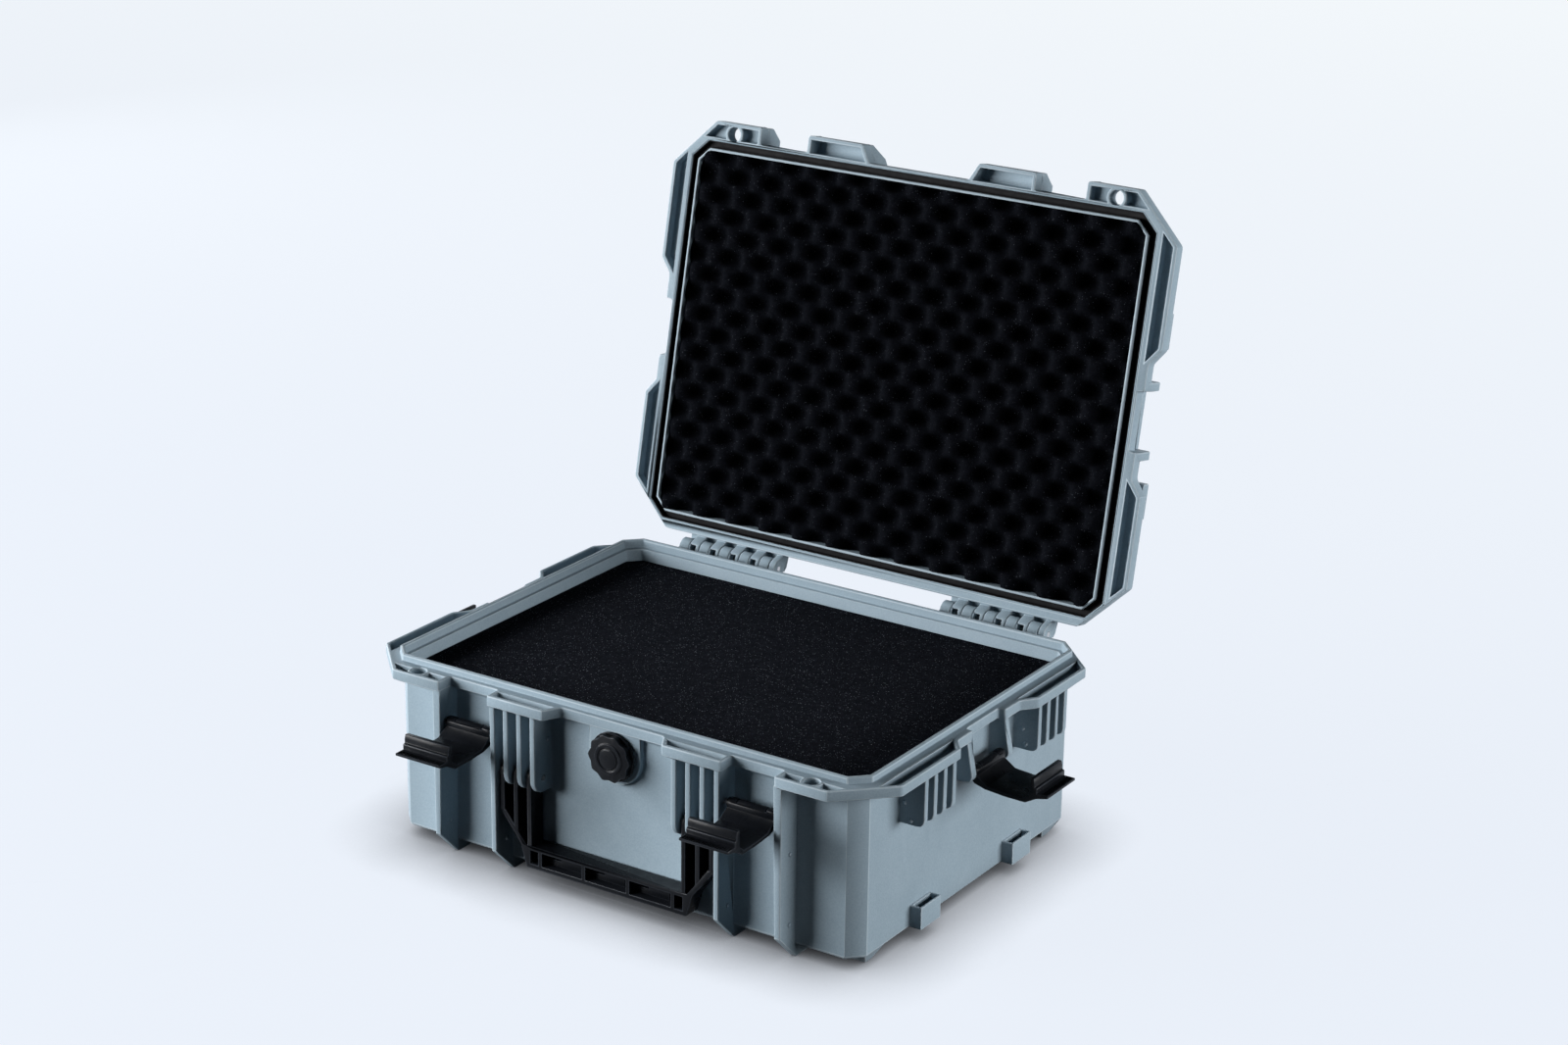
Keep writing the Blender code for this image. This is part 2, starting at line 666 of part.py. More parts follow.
def lid_walls():
    """Lid with its raised top panel, seal channel and the thin inner lip."""
    collar = CHANNEL_OUT + COLLAR_WALL
    shoulder = LID_TOP - LID_PANEL_RISE
    return wall_loft([
        (-LID_PANEL_INSET, LID_TOP),
        (-LID_PANEL_INSET + BODY_EDGE, shoulder),
        (-WALL, shoulder),
        (0.0, shoulder - WALL),
        (0.0, LID_BAND_TOP + RIM_GUSSET),
        (collar, LID_BAND_TOP - GAP),
        (collar, LID_Z + CHANNEL_LEAD),
        (CHANNEL_OUT, LID_Z + CHANNEL_LEAD),
        (CHANNEL_OUT, CHANNEL_TOP),
        (CHANNEL_IN, CHANNEL_TOP),
        (CHANNEL_IN, LIP_Z + LIP_EDGE),
        (CHANNEL_IN - LIP_EDGE, LIP_Z),
        (-WALL + LIP_EDGE, LIP_Z),
        (-WALL, LIP_Z + LIP_EDGE),
        (-WALL, shoulder - WALL),
    ])


def lid_catches():
    """Raised edges that the latches hook over: two at the front and one on each side."""
    low_z = LID_BAND_TOP - ROOT
    front = -HALF_Y - FRONT_REACH + GAP
    notch = HALF_X + NOTCH_REACH - GAP
    half = NOTCH_HALF - ROOT
    solids = side_boxes(notch - CATCH_THICK, notch, (0.0,), half, low_z, CATCH_TOP)
    for side in (-1, 1):
        edges = sorted((side * (TAB_OUTER - ROOT), side * (LUG_INNER + ROOT)))
        solids.append(block((edges[0], front, low_z), (edges[1], front + CATCH_THICK, CATCH_TOP)))
    return solids


def lid_ribs():
    """Wedges behind the tabs, gussets and guards beside the latches, and the stacking lugs."""
    front = -HALF_Y - LUG_REACH + PILLAR_INSET
    root = -HALF_Y + ROOT
    band = LID_BAND_TOP - ROOT
    gusset = [
        (root, band), (front, band), (front, LID_Z + GUSSET_FRONT),
        (-HALF_Y - LUG_REACH / 2, LID_Z + GUSSET_ROOT), (root, LID_Z + GUSSET_ROOT),
    ]
    lean = TAB_SLANT / (LUG_REACH - FRONT_REACH)
    guard_out = HALF_X + GUARD_REACH
    guard_in = HALF_X - ROOT
    guard_foot = HALF_X + CHANNEL_OUT + ROOT
    guard = [
        (guard_in, LID_BAND_TOP), (guard_foot, LID_BAND_TOP), (guard_foot, LID_Z + ROOT),
        (HALF_X + SHOULDER_REACH - ROOT, LID_Z + ROOT),
        (guard_out, LID_Z + LID_BAND / 2), (guard_out, LID_Z + GUARD_DEPTH - GUARD_EDGE),
        (guard_out - GUARD_EDGE, LID_Z + GUARD_DEPTH), (guard_in, LID_Z + GUARD_DEPTH),
    ]
    solids = []
    for side in (-1, 1):
        for start, end in ((TAB_INNER + ROOT, TAB_OUTER - GAP), (LUG_INNER + GAP, LUG_INNER + GUSSET_THICK)):
            edges = sorted((side * start, side * end))
            mesh = extruded([gusset], *edges, ALONG_X)
            for vert in mesh.vertices:
                if end < LUG_INNER and abs(vert.co.x) < (start + end) / 2:
                    vert.co.x -= side * lean * (vert.co.y + HALF_Y + LUG_REACH)
            solids.append(mesh)
        outline = guard if side > 0 else mirrored(guard)
        for end in (-1, 1):
            edges = sorted((end * (NOTCH_HALF + GAP), end * (NOTCH_HALF + GUARD_THICK)))
            solids.append(extruded([outline], *edges, ALONG_Y))
    lug_z = LID_Z + STACK_LUG_LIFT
    solids += side_boxes(
        HALF_X - ROOT, HALF_X + STACK_LUG_REACH, CUP_CENTRES, STACK_LUG_LENGTH / 2,
        lug_z, lug_z + STACK_LUG_THICK,
    )
    return solids


def crate_mesh():
    """Egg-crate pad: a grid of peaks and hollows on a flat back, as it lies in the closed lid."""
    half_x = HALF_X - WALL - FOAM_FIT
    half_y = HALF_Y - WALL - FOAM_FIT
    across = round(2 * half_x / CRATE_STEP)
    along = round(2 * half_y / CRATE_STEP)
    middle = LIP_Z - CRATE_PROUD + CRATE_DEPTH / 2
    back = LID_TOP - LID_PANEL_RISE - WALL - GAP
    grid = bmesh.new()
    bmesh.ops.create_grid(
        grid, x_segments=across, y_segments=along, size=1.0, matrix=Matrix.Diagonal((half_x, half_y, 1, 1))
    )
    for vert in grid.verts:
        column = round((vert.co.x / half_x + 1) / 2 * across)
        row = round((vert.co.y / half_y + 1) / 2 * along)
        vert.co.z = middle + CRATE_DEPTH / 2 * (-1) ** (column + row)
    bmesh.ops.poke(grid, faces=grid.faces[:])
    lifted = bmesh.ops.extrude_face_region(grid, geom=grid.faces[:])
    top = [item for item in lifted["geom"] if isinstance(item, bmesh.types.BMVert)]
    for vert in top:
        vert.co.z = back
    flat = [face for face in grid.faces if all(abs(v.co.z - back) < WELD for v in face.verts)]
    bmesh.ops.dissolve_faces(grid, faces=flat, use_verts=True)
    mesh = bpy.data.meshes.new("crate")
    grid.to_mesh(mesh)
    grid.free()
    return tidy_mesh(mesh)


def latch_mesh():
    """Latch, open: a barrel, a bowed plate, a hooked lip and a finger tab, along local +X."""
    hook = LATCH_OUT - FRONT_REACH + LATCH_HOOK
    lip_in = LATCH_LENGTH
    lip_out = lip_in + LATCH_LIP
    bow = -LATCH_BOW
    tab = lip_out + LATCH_TAB
    step = lip_out + LATCH_TAB_SKIN
    root = BARREL_RADIUS
    tab_top = 0.3 * bow
    top = [
        (0.27 * lip_in, 0.89 * bow + LATCH_SKIN), (0.6 * lip_in, 0.985 * bow + LATCH_SKIN),
        (0.885 * lip_in, bow + LATCH_SKIN), (0.985 * lip_in, 0.45 * bow),
        (lip_in, 0.0), (lip_in, hook), (lip_out - LATCH_TAB_SKIN / 2, hook), (lip_out, hook / 2), (lip_out, 0.1 * hook),
        (step, 0.0), (step, tab_top), (tab, tab_top),
    ]
    under = [
        (tab, tab_top - LATCH_TAB_SKIN), (step, 0.6 * bow), (0.925 * lip_in, bow),
        (0.6 * lip_in, 0.985 * bow), (0.23 * lip_in, 0.88 * bow), (0.04 * lip_in, 0.68 * bow),
    ]
    barrel = arc(0, 0, root, -110, -300, 9)
    neck = [(root * 0.9, -root * 0.55)]
    outline = barrel + arc(0, 0, root, 45, -20, 3) + neck + top + under
    half = LATCH_WIDTH / 2
    return extruded([outline], -half, half, ALONG_Y)


def latch_cutters():
    """Bore for the pin, and the two grooves that divide the barrel into three lengths."""
    half = LATCH_WIDTH / 2
    cutters = [rod(0, 0, BORE_RADIUS, -half - ROOT, half + ROOT, ALONG_Y, 12)]
    groove = half - BARREL_END
    ring = [arc(0, 0, BARREL_RADIUS + ROOT, 30, 200, 8) + arc(0, 0, BARREL_RADIUS - BARREL_GROOVE, 200, 30, 8)]
    for middle in (-groove, groove):
        cutters.append(extruded(ring, middle - BARREL_GROOVE / 2, middle + BARREL_GROOVE / 2, ALONG_Y))
    return cutters


def handle_solids():
    """Grip, back plate, slanted webs and upright webs of the handle, about its pivot."""
    outer = web_centres()[-1] + WEB_THICK / 2
    inner = web_centres()[0] - WEB_THICK / 2
    depth = HANDLE_HALF_DEPTH
    rise = GRIP_TOP - HANDLE_KINK
    waist = outer - HANDLE_SLANT
    foot = waist - GRIP_TAPER
    right = [(outer, -HANDLE_BACK_TOP), (outer, -HANDLE_KINK), (waist, -GRIP_TOP), (foot, -GRIP_BOTTOM)]
    inside = [(-inner, -HANDLE_BACK_TOP), (-inner, -GRIP_TOP), (inner, -GRIP_TOP), (inner, -HANDLE_BACK_TOP)]
    u_shape = right + mirrored(reversed(right)) + inside
    back = extruded([u_shape], depth - HANDLE_BACK, depth, ALONG_Y)
    bar = [(waist, -GRIP_TOP), (foot, -GRIP_BOTTOM)]
    grip = extruded([bar + mirrored(reversed(bar))], -depth, depth, ALONG_Y)
    lean = WEB_THICK * math.hypot(rise, HANDLE_SLANT) / rise
    low = GRIP_TOP + ROOT
    shift = HANDLE_SLANT * ROOT / rise
    slant = [
        (outer, -HANDLE_KINK), (outer - lean, -HANDLE_KINK),
        (waist - shift - lean, -low), (waist - shift, -low),
    ]
    slants = [extruded([points], -depth, depth, ALONG_Y) for points in (slant, mirrored(slant))]
    webs = []
    for index, centre in enumerate(web_centres()):
        reach = GRIP_TOP + ROOT
        if index > 0:
            reach = HANDLE_KINK + rise * (outer - centre - WEB_THICK / 2) / HANDLE_SLANT + ROOT
        inside = depth - SEAM
        outline = arc(0, 0, inside, 0, 180, 8) + [(-inside, -reach), (inside, -reach)]
        half = WEB_THICK / 2 - SEAM
        for side in (-1, 1):
            middle = side * centre
            webs.append(extruded([outline], middle - half, middle + half, ALONG_X))
    return grip, back, slants, webs


def handle_cutters():
    """Pockets in the front of the grip, and the bores for the two pins."""
    outer = web_centres()[-1] + WEB_THICK / 2
    inner = web_centres()[0] - WEB_THICK / 2
    depth = HANDLE_HALF_DEPTH
    front = -depth - ROOT
    deep = depth - HANDLE_BACK
    low = -GRIP_BOTTOM + GRIP_RIB
    high = -GRIP_TOP - GRIP_RIB
    half = outer - HANDLE_SLANT - GRIP_TAPER - GRIP_RIB
    span = 2 * (half - GRIP_END_POCKET)
    pitch = span / GRIP_POCKETS
    cutters = []
    for i in range(GRIP_POCKETS):
        start = -span / 2 + pitch * i
        cutters.append(block((start + GRIP_RIB / 2, front, low), (start + pitch - GRIP_RIB / 2, deep, high)))
    for side in (-1, 1):
        edges = sorted((side * (span / 2 + GRIP_RIB / 2), side * half))
        cutters.append(block((edges[0], front, low), (edges[1], deep, high)))
        edges = sorted((side * (inner - ROOT), side * (outer + ROOT)))
        cutters.append(rod(0, 0, BORE_RADIUS, *edges, ALONG_X, 12))
    return cutters


def turned(name, profile, steps):
    """Round piece turned about local Z from a closed profile of (radius, height), by a Screw modifier."""
    grid = bmesh.new()
    verts = [grid.verts.new((radius, 0.0, height)) for radius, height in profile]
    closed = all(radius > 0 for radius, _ in profile)
    pairs = list(zip(verts, verts[1:]))
    if closed:
        pairs.append((verts[-1], verts[0]))
    for a, b in pairs:
        grid.edges.new((a, b))
    mesh = bpy.data.meshes.new(name)
    grid.to_mesh(mesh)
    grid.free()
    item = bpy.data.objects.new(name, mesh)
    screw = item.modifiers.new("turn", "SCREW")
    screw.steps = steps
    screw.render_steps = steps
    screw.use_merge_vertices = True
    screw.merge_threshold = 1.0e-5
    screw.use_normal_calculate = True
    screw.use_normal_flip = closed
    return item


class Workshop:
    """Collections, materials and the operations that add finished pieces to the model."""

    def __init__(self):
        clear_scene()
        self.parts = make_collection("equipment_case")
        self.cutters = make_collection("equipment_case_cutters")
        self.materials = {name: make_material(name) for name in MATERIALS}

    def piece(self, name, shape, material):
        """Add a piece from a mesh or from an object that carries its own modifiers."""
        item = shape if isinstance(shape, bpy.types.Object) else bpy.data.objects.new(name, shape)
        self.parts.objects.link(item)
        item.data.materials.clear()
        item.data.materials.append(self.materials[material])
        return item

    def shape(self, target, operation, meshes):
        """Join closed bodies to a piece, or cut them out of it."""
        tool = bpy.data.objects.new(f"{target.name}_{operation.lower()}", joined(meshes))
        tool.hide_render = True
        tool.display_type = "WIRE"
        self.cutters.objects.link(tool)
        tool.parent = target
        boolean = target.modifiers.new(tool.name, "BOOLEAN")
        boolean.operation = operation
        boolean.solver = "EXACT"
        boolean.object = tool


def smooth(item, angle=35):
    """Shade a round piece smooth, with its edges sharp."""
    item.data.shade_smooth()
    item.data.set_sharp_from_angle(angle=math.radians(angle))


def build_base(shop):
    """Base shell, its foam layers and the pins that it holds."""
    base = shop.piece("base_shell", base_walls(), "grey_shell")
    rim = extruded([rim_outline(), body_ring(TONGUE_WIDTH / 2)], BASE_BAND_Z, RIM_Z)
    shop.shape(base, "UNION", [rim])
    half = VALVE_PAD / 2
    tomb = [(half, FIN_ROOT_Z), (-half, FIN_ROOT_Z), *arc(0, VALVE_Z, half, 180, 360, 16)]
    pad = extruded([tomb], -HALF_Y - VALVE_PAD_RISE, -HALF_Y + ROOT, ALONG_Y)
    cups = side_boxes(HALF_X - ROOT, HALF_X + CUP_REACH, CUP_CENTRES, CUP_WIDTH / 2, CUP_LOW, CUP_TOP)
    shop.shape(base, "UNION", front_fins() + corner_feet() + side_fins() + base_knuckles() + [pad] + cups)
    floors = [RIM_Z - BASE_POCKET_DEPTH] * 5
    pockets = rim_cutters(RIM_Z + ROOT, floors, FRONT_REACH + POCKET_WALL, BASE_BAND_Z - ROOT, RIM_Z + ROOT)
    pockets += side_boxes(
        HALF_X + CUP_WALL, HALF_X + CUP_REACH - CUP_WALL, CUP_CENTRES, CUP_WIDTH / 2 - CUP_WALL,
        CUP_LOW + CUP_WALL, CUP_TOP + ROOT,
    )
    shop.shape(base, "DIFFERENCE", pockets)
    shop.shape(base, "DIFFERENCE", base_bores())

    floor = PANEL_DROP + FLOOR
    ring = body_ring(-WALL - FOAM_FIT)
    levels = (
        ("base_foam_floor_pad", floor + GAP, floor + FLOOR_PAD),
        ("base_foam_lower", floor + FLOOR_PAD + GAP, FOAM_SPLIT),
        ("base_foam_upper", FOAM_SPLIT + GAP, FOAM_TOP),
    )
    for name, low, high in levels:
        layer = shop.piece(name, extruded([ring], low, high), "black_foam")
        if name == "base_foam_floor_pad":
            plug = extruded([body_ring(-PANEL_INSET - WALL - BODY_EDGE)], FLOOR + GAP, floor + FLOOR_PAD / 2)
            shop.shape(layer, "UNION", [plug])
        if name == "base_foam_upper":
            front = -HALF_Y + WALL - ROOT
            recess_low = (-VALVE_RECESS, front, VALVE_Z - VALVE_RECESS)
            recess_high = (VALVE_RECESS, -HALF_Y + VALVE_STEM_END + ROOT, FOAM_TOP + ROOT)
            shop.shape(layer, "DIFFERENCE", [block(recess_low, recess_high)])


def build_lid(shop):
    """Lid shell, its seal and its foam, swung open about the hinge."""
    lid = shop.piece("lid_shell", lid_walls(), "grey_shell")
    inner_edge = body_ring(CHANNEL_OUT + COLLAR_WALL / 2)
    shop.shape(lid, "UNION", [extruded([rim_outline(), inner_edge], LID_Z, LID_BAND_TOP)])
    shop.shape(lid, "UNION", lid_catches())
    shop.shape(lid, "UNION", lid_ribs() + lid_knuckles())
    shop.shape(lid, "UNION", lid_hoods())
    floors = [LID_Z + TAB_POCKET_DEPTH] + [LID_Z + LID_POCKET_DEPTH] * 4
    pocket_reach = CHANNEL_OUT + COLLAR_WALL + ROOT
    cutters = rim_cutters(LID_Z - ROOT, floors, pocket_reach, LID_Z - ROOT, LID_BAND_TOP + ROOT)
    shop.shape(lid, "DIFFERENCE", cutters)
    shop.shape(lid, "DIFFERENCE", hinge_bores())

    seal_low = CHANNEL_TOP - GAP - SEAL_HEIGHT
    seal_loops = [body_ring(CHANNEL_OUT - GAP), body_ring(CHANNEL_IN + GAP)]
    seal = shop.piece("lid_gasket", extruded(seal_loops, seal_low, CHANNEL_TOP - GAP), "black_rubber")

    foam = shop.piece("lid_foam", crate_mesh(), "black_foam")
    trim = extruded([body_ring(-WALL - FOAM_FIT)], LIP_Z - 2 * CRATE_PROUD, LID_TOP)
    shop.shape(foam, "INTERSECT", [trim])

    hinge = bpy.data.objects.new("lid_hinge_axis", None)
    shop.parts.objects.link(hinge)
    hinge.location = (0, HINGE_Y, HINGE_Z)
    hinge.rotation_euler = (-LID_OPEN, 0, 0)
    for item in (lid, seal, foam):
        item.parent = hinge
        item.matrix_parent_inverse = Matrix.Translation((0, -HINGE_Y, -HINGE_Z))


def build_latches(shop):
    """Four latches standing open on their pins: two at the front and one on each side."""
    half = LATCH_WIDTH / 2
    front_y = -HALF_Y - LATCH_OUT
    side_x = HALF_X + LATCH_OUT
    places = {
        "front_left": ((-LATCH_CENTRE_X, front_y, LATCH_Z), -90),
        "front_right": ((LATCH_CENTRE_X, front_y, LATCH_Z), -90),
        "side_left": ((-side_x, 0.0, LATCH_Z), 180),
        "side_right": ((side_x, 0.0, LATCH_Z), 0),
    }
    for name, (place, turn) in places.items():
        latch = shop.piece(f"latch_{name}", latch_mesh(), "black_plastic")
        latch.location = place
        latch.rotation_euler = (0, 0, math.radians(turn))
        shop.shape(latch, "DIFFERENCE", latch_cutters())

    low, high = front_latch_pin_span()
    side_seat = NOTCH_HALF + PIN_SEAT
    pins = {
        "front_left": rod(front_y, LATCH_Z, PIN_RADIUS, -high, -low, ALONG_X, 12),
        "front_right": rod(front_y, LATCH_Z, PIN_RADIUS, low, high, ALONG_X, 12),
        "side_left": rod(-side_x, LATCH_Z, PIN_RADIUS, -side_seat, side_seat, ALONG_Y, 12),
        "side_right": rod(side_x, LATCH_Z, PIN_RADIUS, -side_seat, side_seat, ALONG_Y, 12),
    }
    for name, mesh in pins.items():
        smooth(shop.piece(f"latch_pin_{name}", mesh, "steel_pin"))


def build_handle(shop):
    """Folding handle hanging between the front fins, with its two pins."""
    grip, back, slants, webs = handle_solids()
    handle = shop.piece("carry_handle", grip, "black_plastic")
    handle.location = (0, HANDLE_Y, HANDLE_Z)
    for solids in ([back], slants, webs):
        shop.shape(handle, "UNION", solids)
    shop.shape(handle, "DIFFERENCE", handle_cutters())
    low, high = handle_pin_span()
    for name, edges in (("left", (-high, -low)), ("right", (low, high))):
        mesh = rod(HANDLE_Y, HANDLE_Z, PIN_RADIUS, *edges, ALONG_X, 12)
        smooth(shop.piece(f"handle_pin_{name}", mesh, "steel_pin"))


def build_hinge_pins(shop):
    """One long pin through each group of hinge knuckles."""
    half = (KNUCKLES * KNUCKLE_PITCH + END_PLATE) / 2 - GAP
    for name, centre in (("left", -HINGE_CENTRE), ("right", HINGE_CENTRE)):
        mesh = rod(HINGE_Y, HINGE_Z, PIN_RADIUS, centre - half, centre + half, ALONG_X, 12)
        smooth(shop.piece(f"hinge_pin_{name}", mesh, "steel_pin"))


def build_valve(shop):
    """Purge valve through the front wall: seal, body, inner nut and lobed knob, along local +Z."""
    seal_low = VALVE_PAD_RISE + GAP
    seal_high = seal_low + VALVE_SEAL_THICK
    flange_low = seal_high + GAP
    flange_high = flange_low + VALVE_FLANGE_THICK
    spigot_top = flange_high + VALVE_SPIGOT_RISE
    nut_high = -WALL - GAP
    nut_low = nut_high - VALVE_NUT_THICK
    hole = VALVE_STEM + GAP
    body = turned("valve_body", [
        (0.0, -VALVE_STEM_END), (VALVE_STEM, -VALVE_STEM_END), (VALVE_STEM, flange_low),
        (VALVE_FLANGE, flange_low), (VALVE_FLANGE, flange_high - GAP), (VALVE_FLANGE - GAP, flange_high),
        (VALVE_SPIGOT, flange_high), (VALVE_SPIGOT, spigot_top), (0.0, spigot_top),
    ], 32)
    seal_out = VALVE_FLANGE - ROOT
    seal = turned("valve_seal", [
        (hole, seal_low), (hole, seal_high), (seal_out, seal_high), (seal_out, seal_low),
    ], 32)
    six = arc(0, 0, VALVE_NUT, 0, 300, 5)
    nut = bpy.data.objects.new("valve_nut", extruded([six, arc(0, 0, hole, 0, 345, 23)], nut_low, nut_high))
    knob_low = flange_high + GAP
    knob_high = knob_low + KNOB_THICK
    lobes = []
    steps = KNOB_LOBES * 6
    for i in range(steps):
        angle = 2 * math.pi * i / steps
        radius = KNOB_RADIUS + KNOB_LOBE * math.cos(KNOB_LOBES * angle)
        lobes.append((radius * math.cos(angle), radius * math.sin(angle)))
    knob = bpy.data.objects.new("valve_knob", extruded([lobes], knob_low, knob_high))
    pieces = (
        (body, "black_plastic"), (seal, "black_rubber"), (nut, "black_plastic"), (knob, "black_plastic"),
    )
    for item, material in pieces:
        shop.piece(item.name, item, material)
        item.location = (0, -HALF_Y, VALVE_Z)
        item.rotation_euler = (math.pi / 2, 0, 0)
        smooth(item)
    cap_top = knob_high + KNOB_CAP_RISE
    shop.shape(knob, "UNION", [rod(0, 0, KNOB_CAP, knob_high - ROOT, cap_top, ALONG_Z, 32)])
    rings = [arc(0, 0, radius, 0, 348.75, 31) for radius in reversed(KNOB_GROOVE)]
    shop.shape(knob, "DIFFERENCE", [extruded(rings, cap_top - KNOB_GROOVE_DEPTH, cap_top + ROOT)])
    bore_top = spigot_top + GAP
    shop.shape(knob, "DIFFERENCE", [rod(0, 0, VALVE_SPIGOT + GAP, knob_low - ROOT, bore_top, ALONG_Z, 32)])


def main():
    """Build the whole case."""
    shop = Workshop()
    build_base(shop)
    build_lid(shop)
    build_latches(shop)
    build_handle(shop)
    build_hinge_pins(shop)
    build_valve(shop)


if __name__ == "__main__":
    main()
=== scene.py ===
"""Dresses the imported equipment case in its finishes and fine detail, in a pale studio.

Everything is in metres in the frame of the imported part: X along the width, the front at -Y, +Z up
and the floor at zero. Pieces of the lid are modelled closed and then swung open about the hinge.
"""

import logging
import math
from contextlib import contextmanager
from dataclasses import dataclass
from enum import Enum
from typing import Callable, ClassVar, Dict, Iterator, Optional, Tuple

import bpy
from mathutils import Matrix, Vector
from mathutils.bvhtree import BVHTree

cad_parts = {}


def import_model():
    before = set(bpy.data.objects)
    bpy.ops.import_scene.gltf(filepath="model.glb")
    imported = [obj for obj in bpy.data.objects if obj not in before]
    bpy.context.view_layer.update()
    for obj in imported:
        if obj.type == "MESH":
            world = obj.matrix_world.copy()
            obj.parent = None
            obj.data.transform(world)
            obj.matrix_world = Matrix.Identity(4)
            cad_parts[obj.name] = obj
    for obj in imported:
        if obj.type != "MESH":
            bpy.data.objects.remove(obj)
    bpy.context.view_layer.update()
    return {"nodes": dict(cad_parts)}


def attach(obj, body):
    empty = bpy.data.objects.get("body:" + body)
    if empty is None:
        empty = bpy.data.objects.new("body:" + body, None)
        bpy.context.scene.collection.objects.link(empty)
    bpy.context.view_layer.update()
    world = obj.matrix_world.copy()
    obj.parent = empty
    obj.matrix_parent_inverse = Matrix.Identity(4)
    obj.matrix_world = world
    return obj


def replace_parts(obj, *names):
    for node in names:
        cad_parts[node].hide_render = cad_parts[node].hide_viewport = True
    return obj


LOG = logging.getLogger("equipment_case")
MM = 0.001
EDGE_MARK = "rounded_edge"

# Edges sharper than this many degrees are rounded, and stay crisp in the shading.
SHARP_ANGLE = 28.0
# A rounded point further than this share of the radius from the old surface is a stray one.
STRAY_SHARE = 0.42
# Points this close to a surface lie on it.
TOUCHING = 1.0e-6
# Corners of a CAD node's loose triangles that are this close are one.
MERGE_GAP = 2.0e-6
# Edges shorter than this belong to slivers, which go.
SLIVER = 0.35 * MM
# Faces that meet at less than this angle become one.
FLAT_ANGLE = math.radians(1.0)
# A face whose normal has at least this much of +Z looks up.
UPWARD = 0.9

Colour = Tuple[float, float, float]
Point = Tuple[float, float, float]
Nodes = Dict[str, bpy.types.Object]
Socket = bpy.types.NodeSocket


def activate(piece: bpy.types.Object) -> None:
    """Make one object the only selected and active one."""
    bpy.ops.object.select_all(action="DESELECT")
    piece.select_set(True)
    bpy.context.view_layer.objects.active = piece


@contextmanager
def editing(piece: bpy.types.Object) -> Iterator[bpy.types.Mesh]:
    """Edit mode on one object, with its whole mesh selected.

    Args:
        piece: The object to edit.

    Returns:
        A context whose value is the object's mesh.
    """
    activate(piece)
    bpy.ops.object.mode_set(mode="EDIT")
    bpy.ops.mesh.select_all(action="SELECT")
    yield piece.data
    bpy.ops.object.mode_set(mode="OBJECT")


@contextmanager
def editing_faces(
    piece: bpy.types.Object, test: Callable[[bpy.types.MeshPolygon], bool]
) -> Iterator[None]:
    """Edit mode on one object, with only the faces selected that pass a test.

    Args:
        piece: The object to edit.
        test: Says whether a face is selected.

    Returns:
        A context with those faces selected.
    """
    activate(piece)
    bpy.ops.object.mode_set(mode="EDIT")
    bpy.ops.mesh.select_mode(type="FACE")
    bpy.ops.mesh.select_all(action="DESELECT")
    bpy.ops.object.mode_set(mode="OBJECT")
    piece.data.polygons.foreach_set("select", [test(face) for face in piece.data.polygons])
    bpy.ops.object.mode_set(mode="EDIT")
    yield
    bpy.ops.mesh.select_mode(type="VERT")
    bpy.ops.object.mode_set(mode="OBJECT")


def faces_up(face: bpy.types.MeshPolygon) -> bool:
    """Say whether a face looks up."""
    return face.normal.z > UPWARD


def apply_modifiers(piece: bpy.types.Object) -> None:
    """Apply every modifier of an object."""
    activate(piece)
    for modifier in list(piece.modifiers):
        bpy.ops.object.modifier_apply(modifier=modifier.name)


def settle(piece: bpy.types.Object) -> None:
    """Move an object's place into its mesh."""
    activate(piece)
    bpy.ops.object.transform_apply(location=True, rotation=True, scale=True)


def smooth(piece: bpy.types.Object, angle: float) -> None:
    """Shade an object smooth, apart from edges sharper than an angle in degrees."""
    activate(piece)
    bpy.ops.object.shade_smooth_by_angle(angle=math.radians(angle))


def add_shape(primitive: Callable[..., object], **options: object) -> bpy.types.Object:
    """Add a primitive with nothing else selected.

    Args:
        primitive: Blender's operator that adds it.
        options: The operator's own options.

    Returns:
        The new object.
    """
    bpy.ops.object.select_all(action="DESELECT")
    primitive(**options)
    return bpy.context.object


def repeat(piece: bpy.types.Object, step: Point, count: int) -> None:
    """Repeat a mesh in a row.

    Args:
        piece: The object whose mesh is repeated.
        step: From each one in the row to the next.
        count: How many the row has.
    """
    row = piece.modifiers.new("row", "ARRAY")
    row.use_relative_offset = False
    row.use_constant_offset = True
    row.constant_offset_displace = step
    row.count = count
    apply_modifiers(piece)


def surface_of(piece: bpy.types.Object) -> BVHTree:
    """Search tree of an object's faces."""
    points = [vert.co.copy() for vert in piece.data.vertices]
    return BVHTree.FromPolygons(points, [list(face.vertices) for face in piece.data.polygons])


def round_edges(piece: bpy.types.Object, radius: float, segments: int) -> None:
    """Round an object's sharp edges, mark the outer ones and shade the result smooth.

    Where two roundings meet badly, the stray points go back to the surface that was there before.

    Args:
        piece: The object to round.
        radius: Width of the rounding.
        segments: Faces across each rounded edge.
    """
    before = surface_of(piece)
    while len(piece.data.materials) < 2:
        piece.data.materials.append(None)
    piece.data.polygons.foreach_set("material_index", [0] * len(piece.data.polygons))
    bevel = piece.modifiers.new("rounded_edges", "BEVEL")
    bevel.width = radius
    bevel.segments = segments
    bevel.limit_method = "ANGLE"
    bevel.angle_limit = math.radians(SHARP_ANGLE)
    bevel.use_clamp_overlap = False
    bevel.material = 1
    apply_modifiers(piece)
    for vert in piece.data.vertices:
        spot, _, _, distance = before.find_nearest(vert.co)
        if distance > STRAY_SHARE * radius:
            vert.co = spot
    mark_edges(piece, before)
    smooth(piece, SHARP_ANGLE)


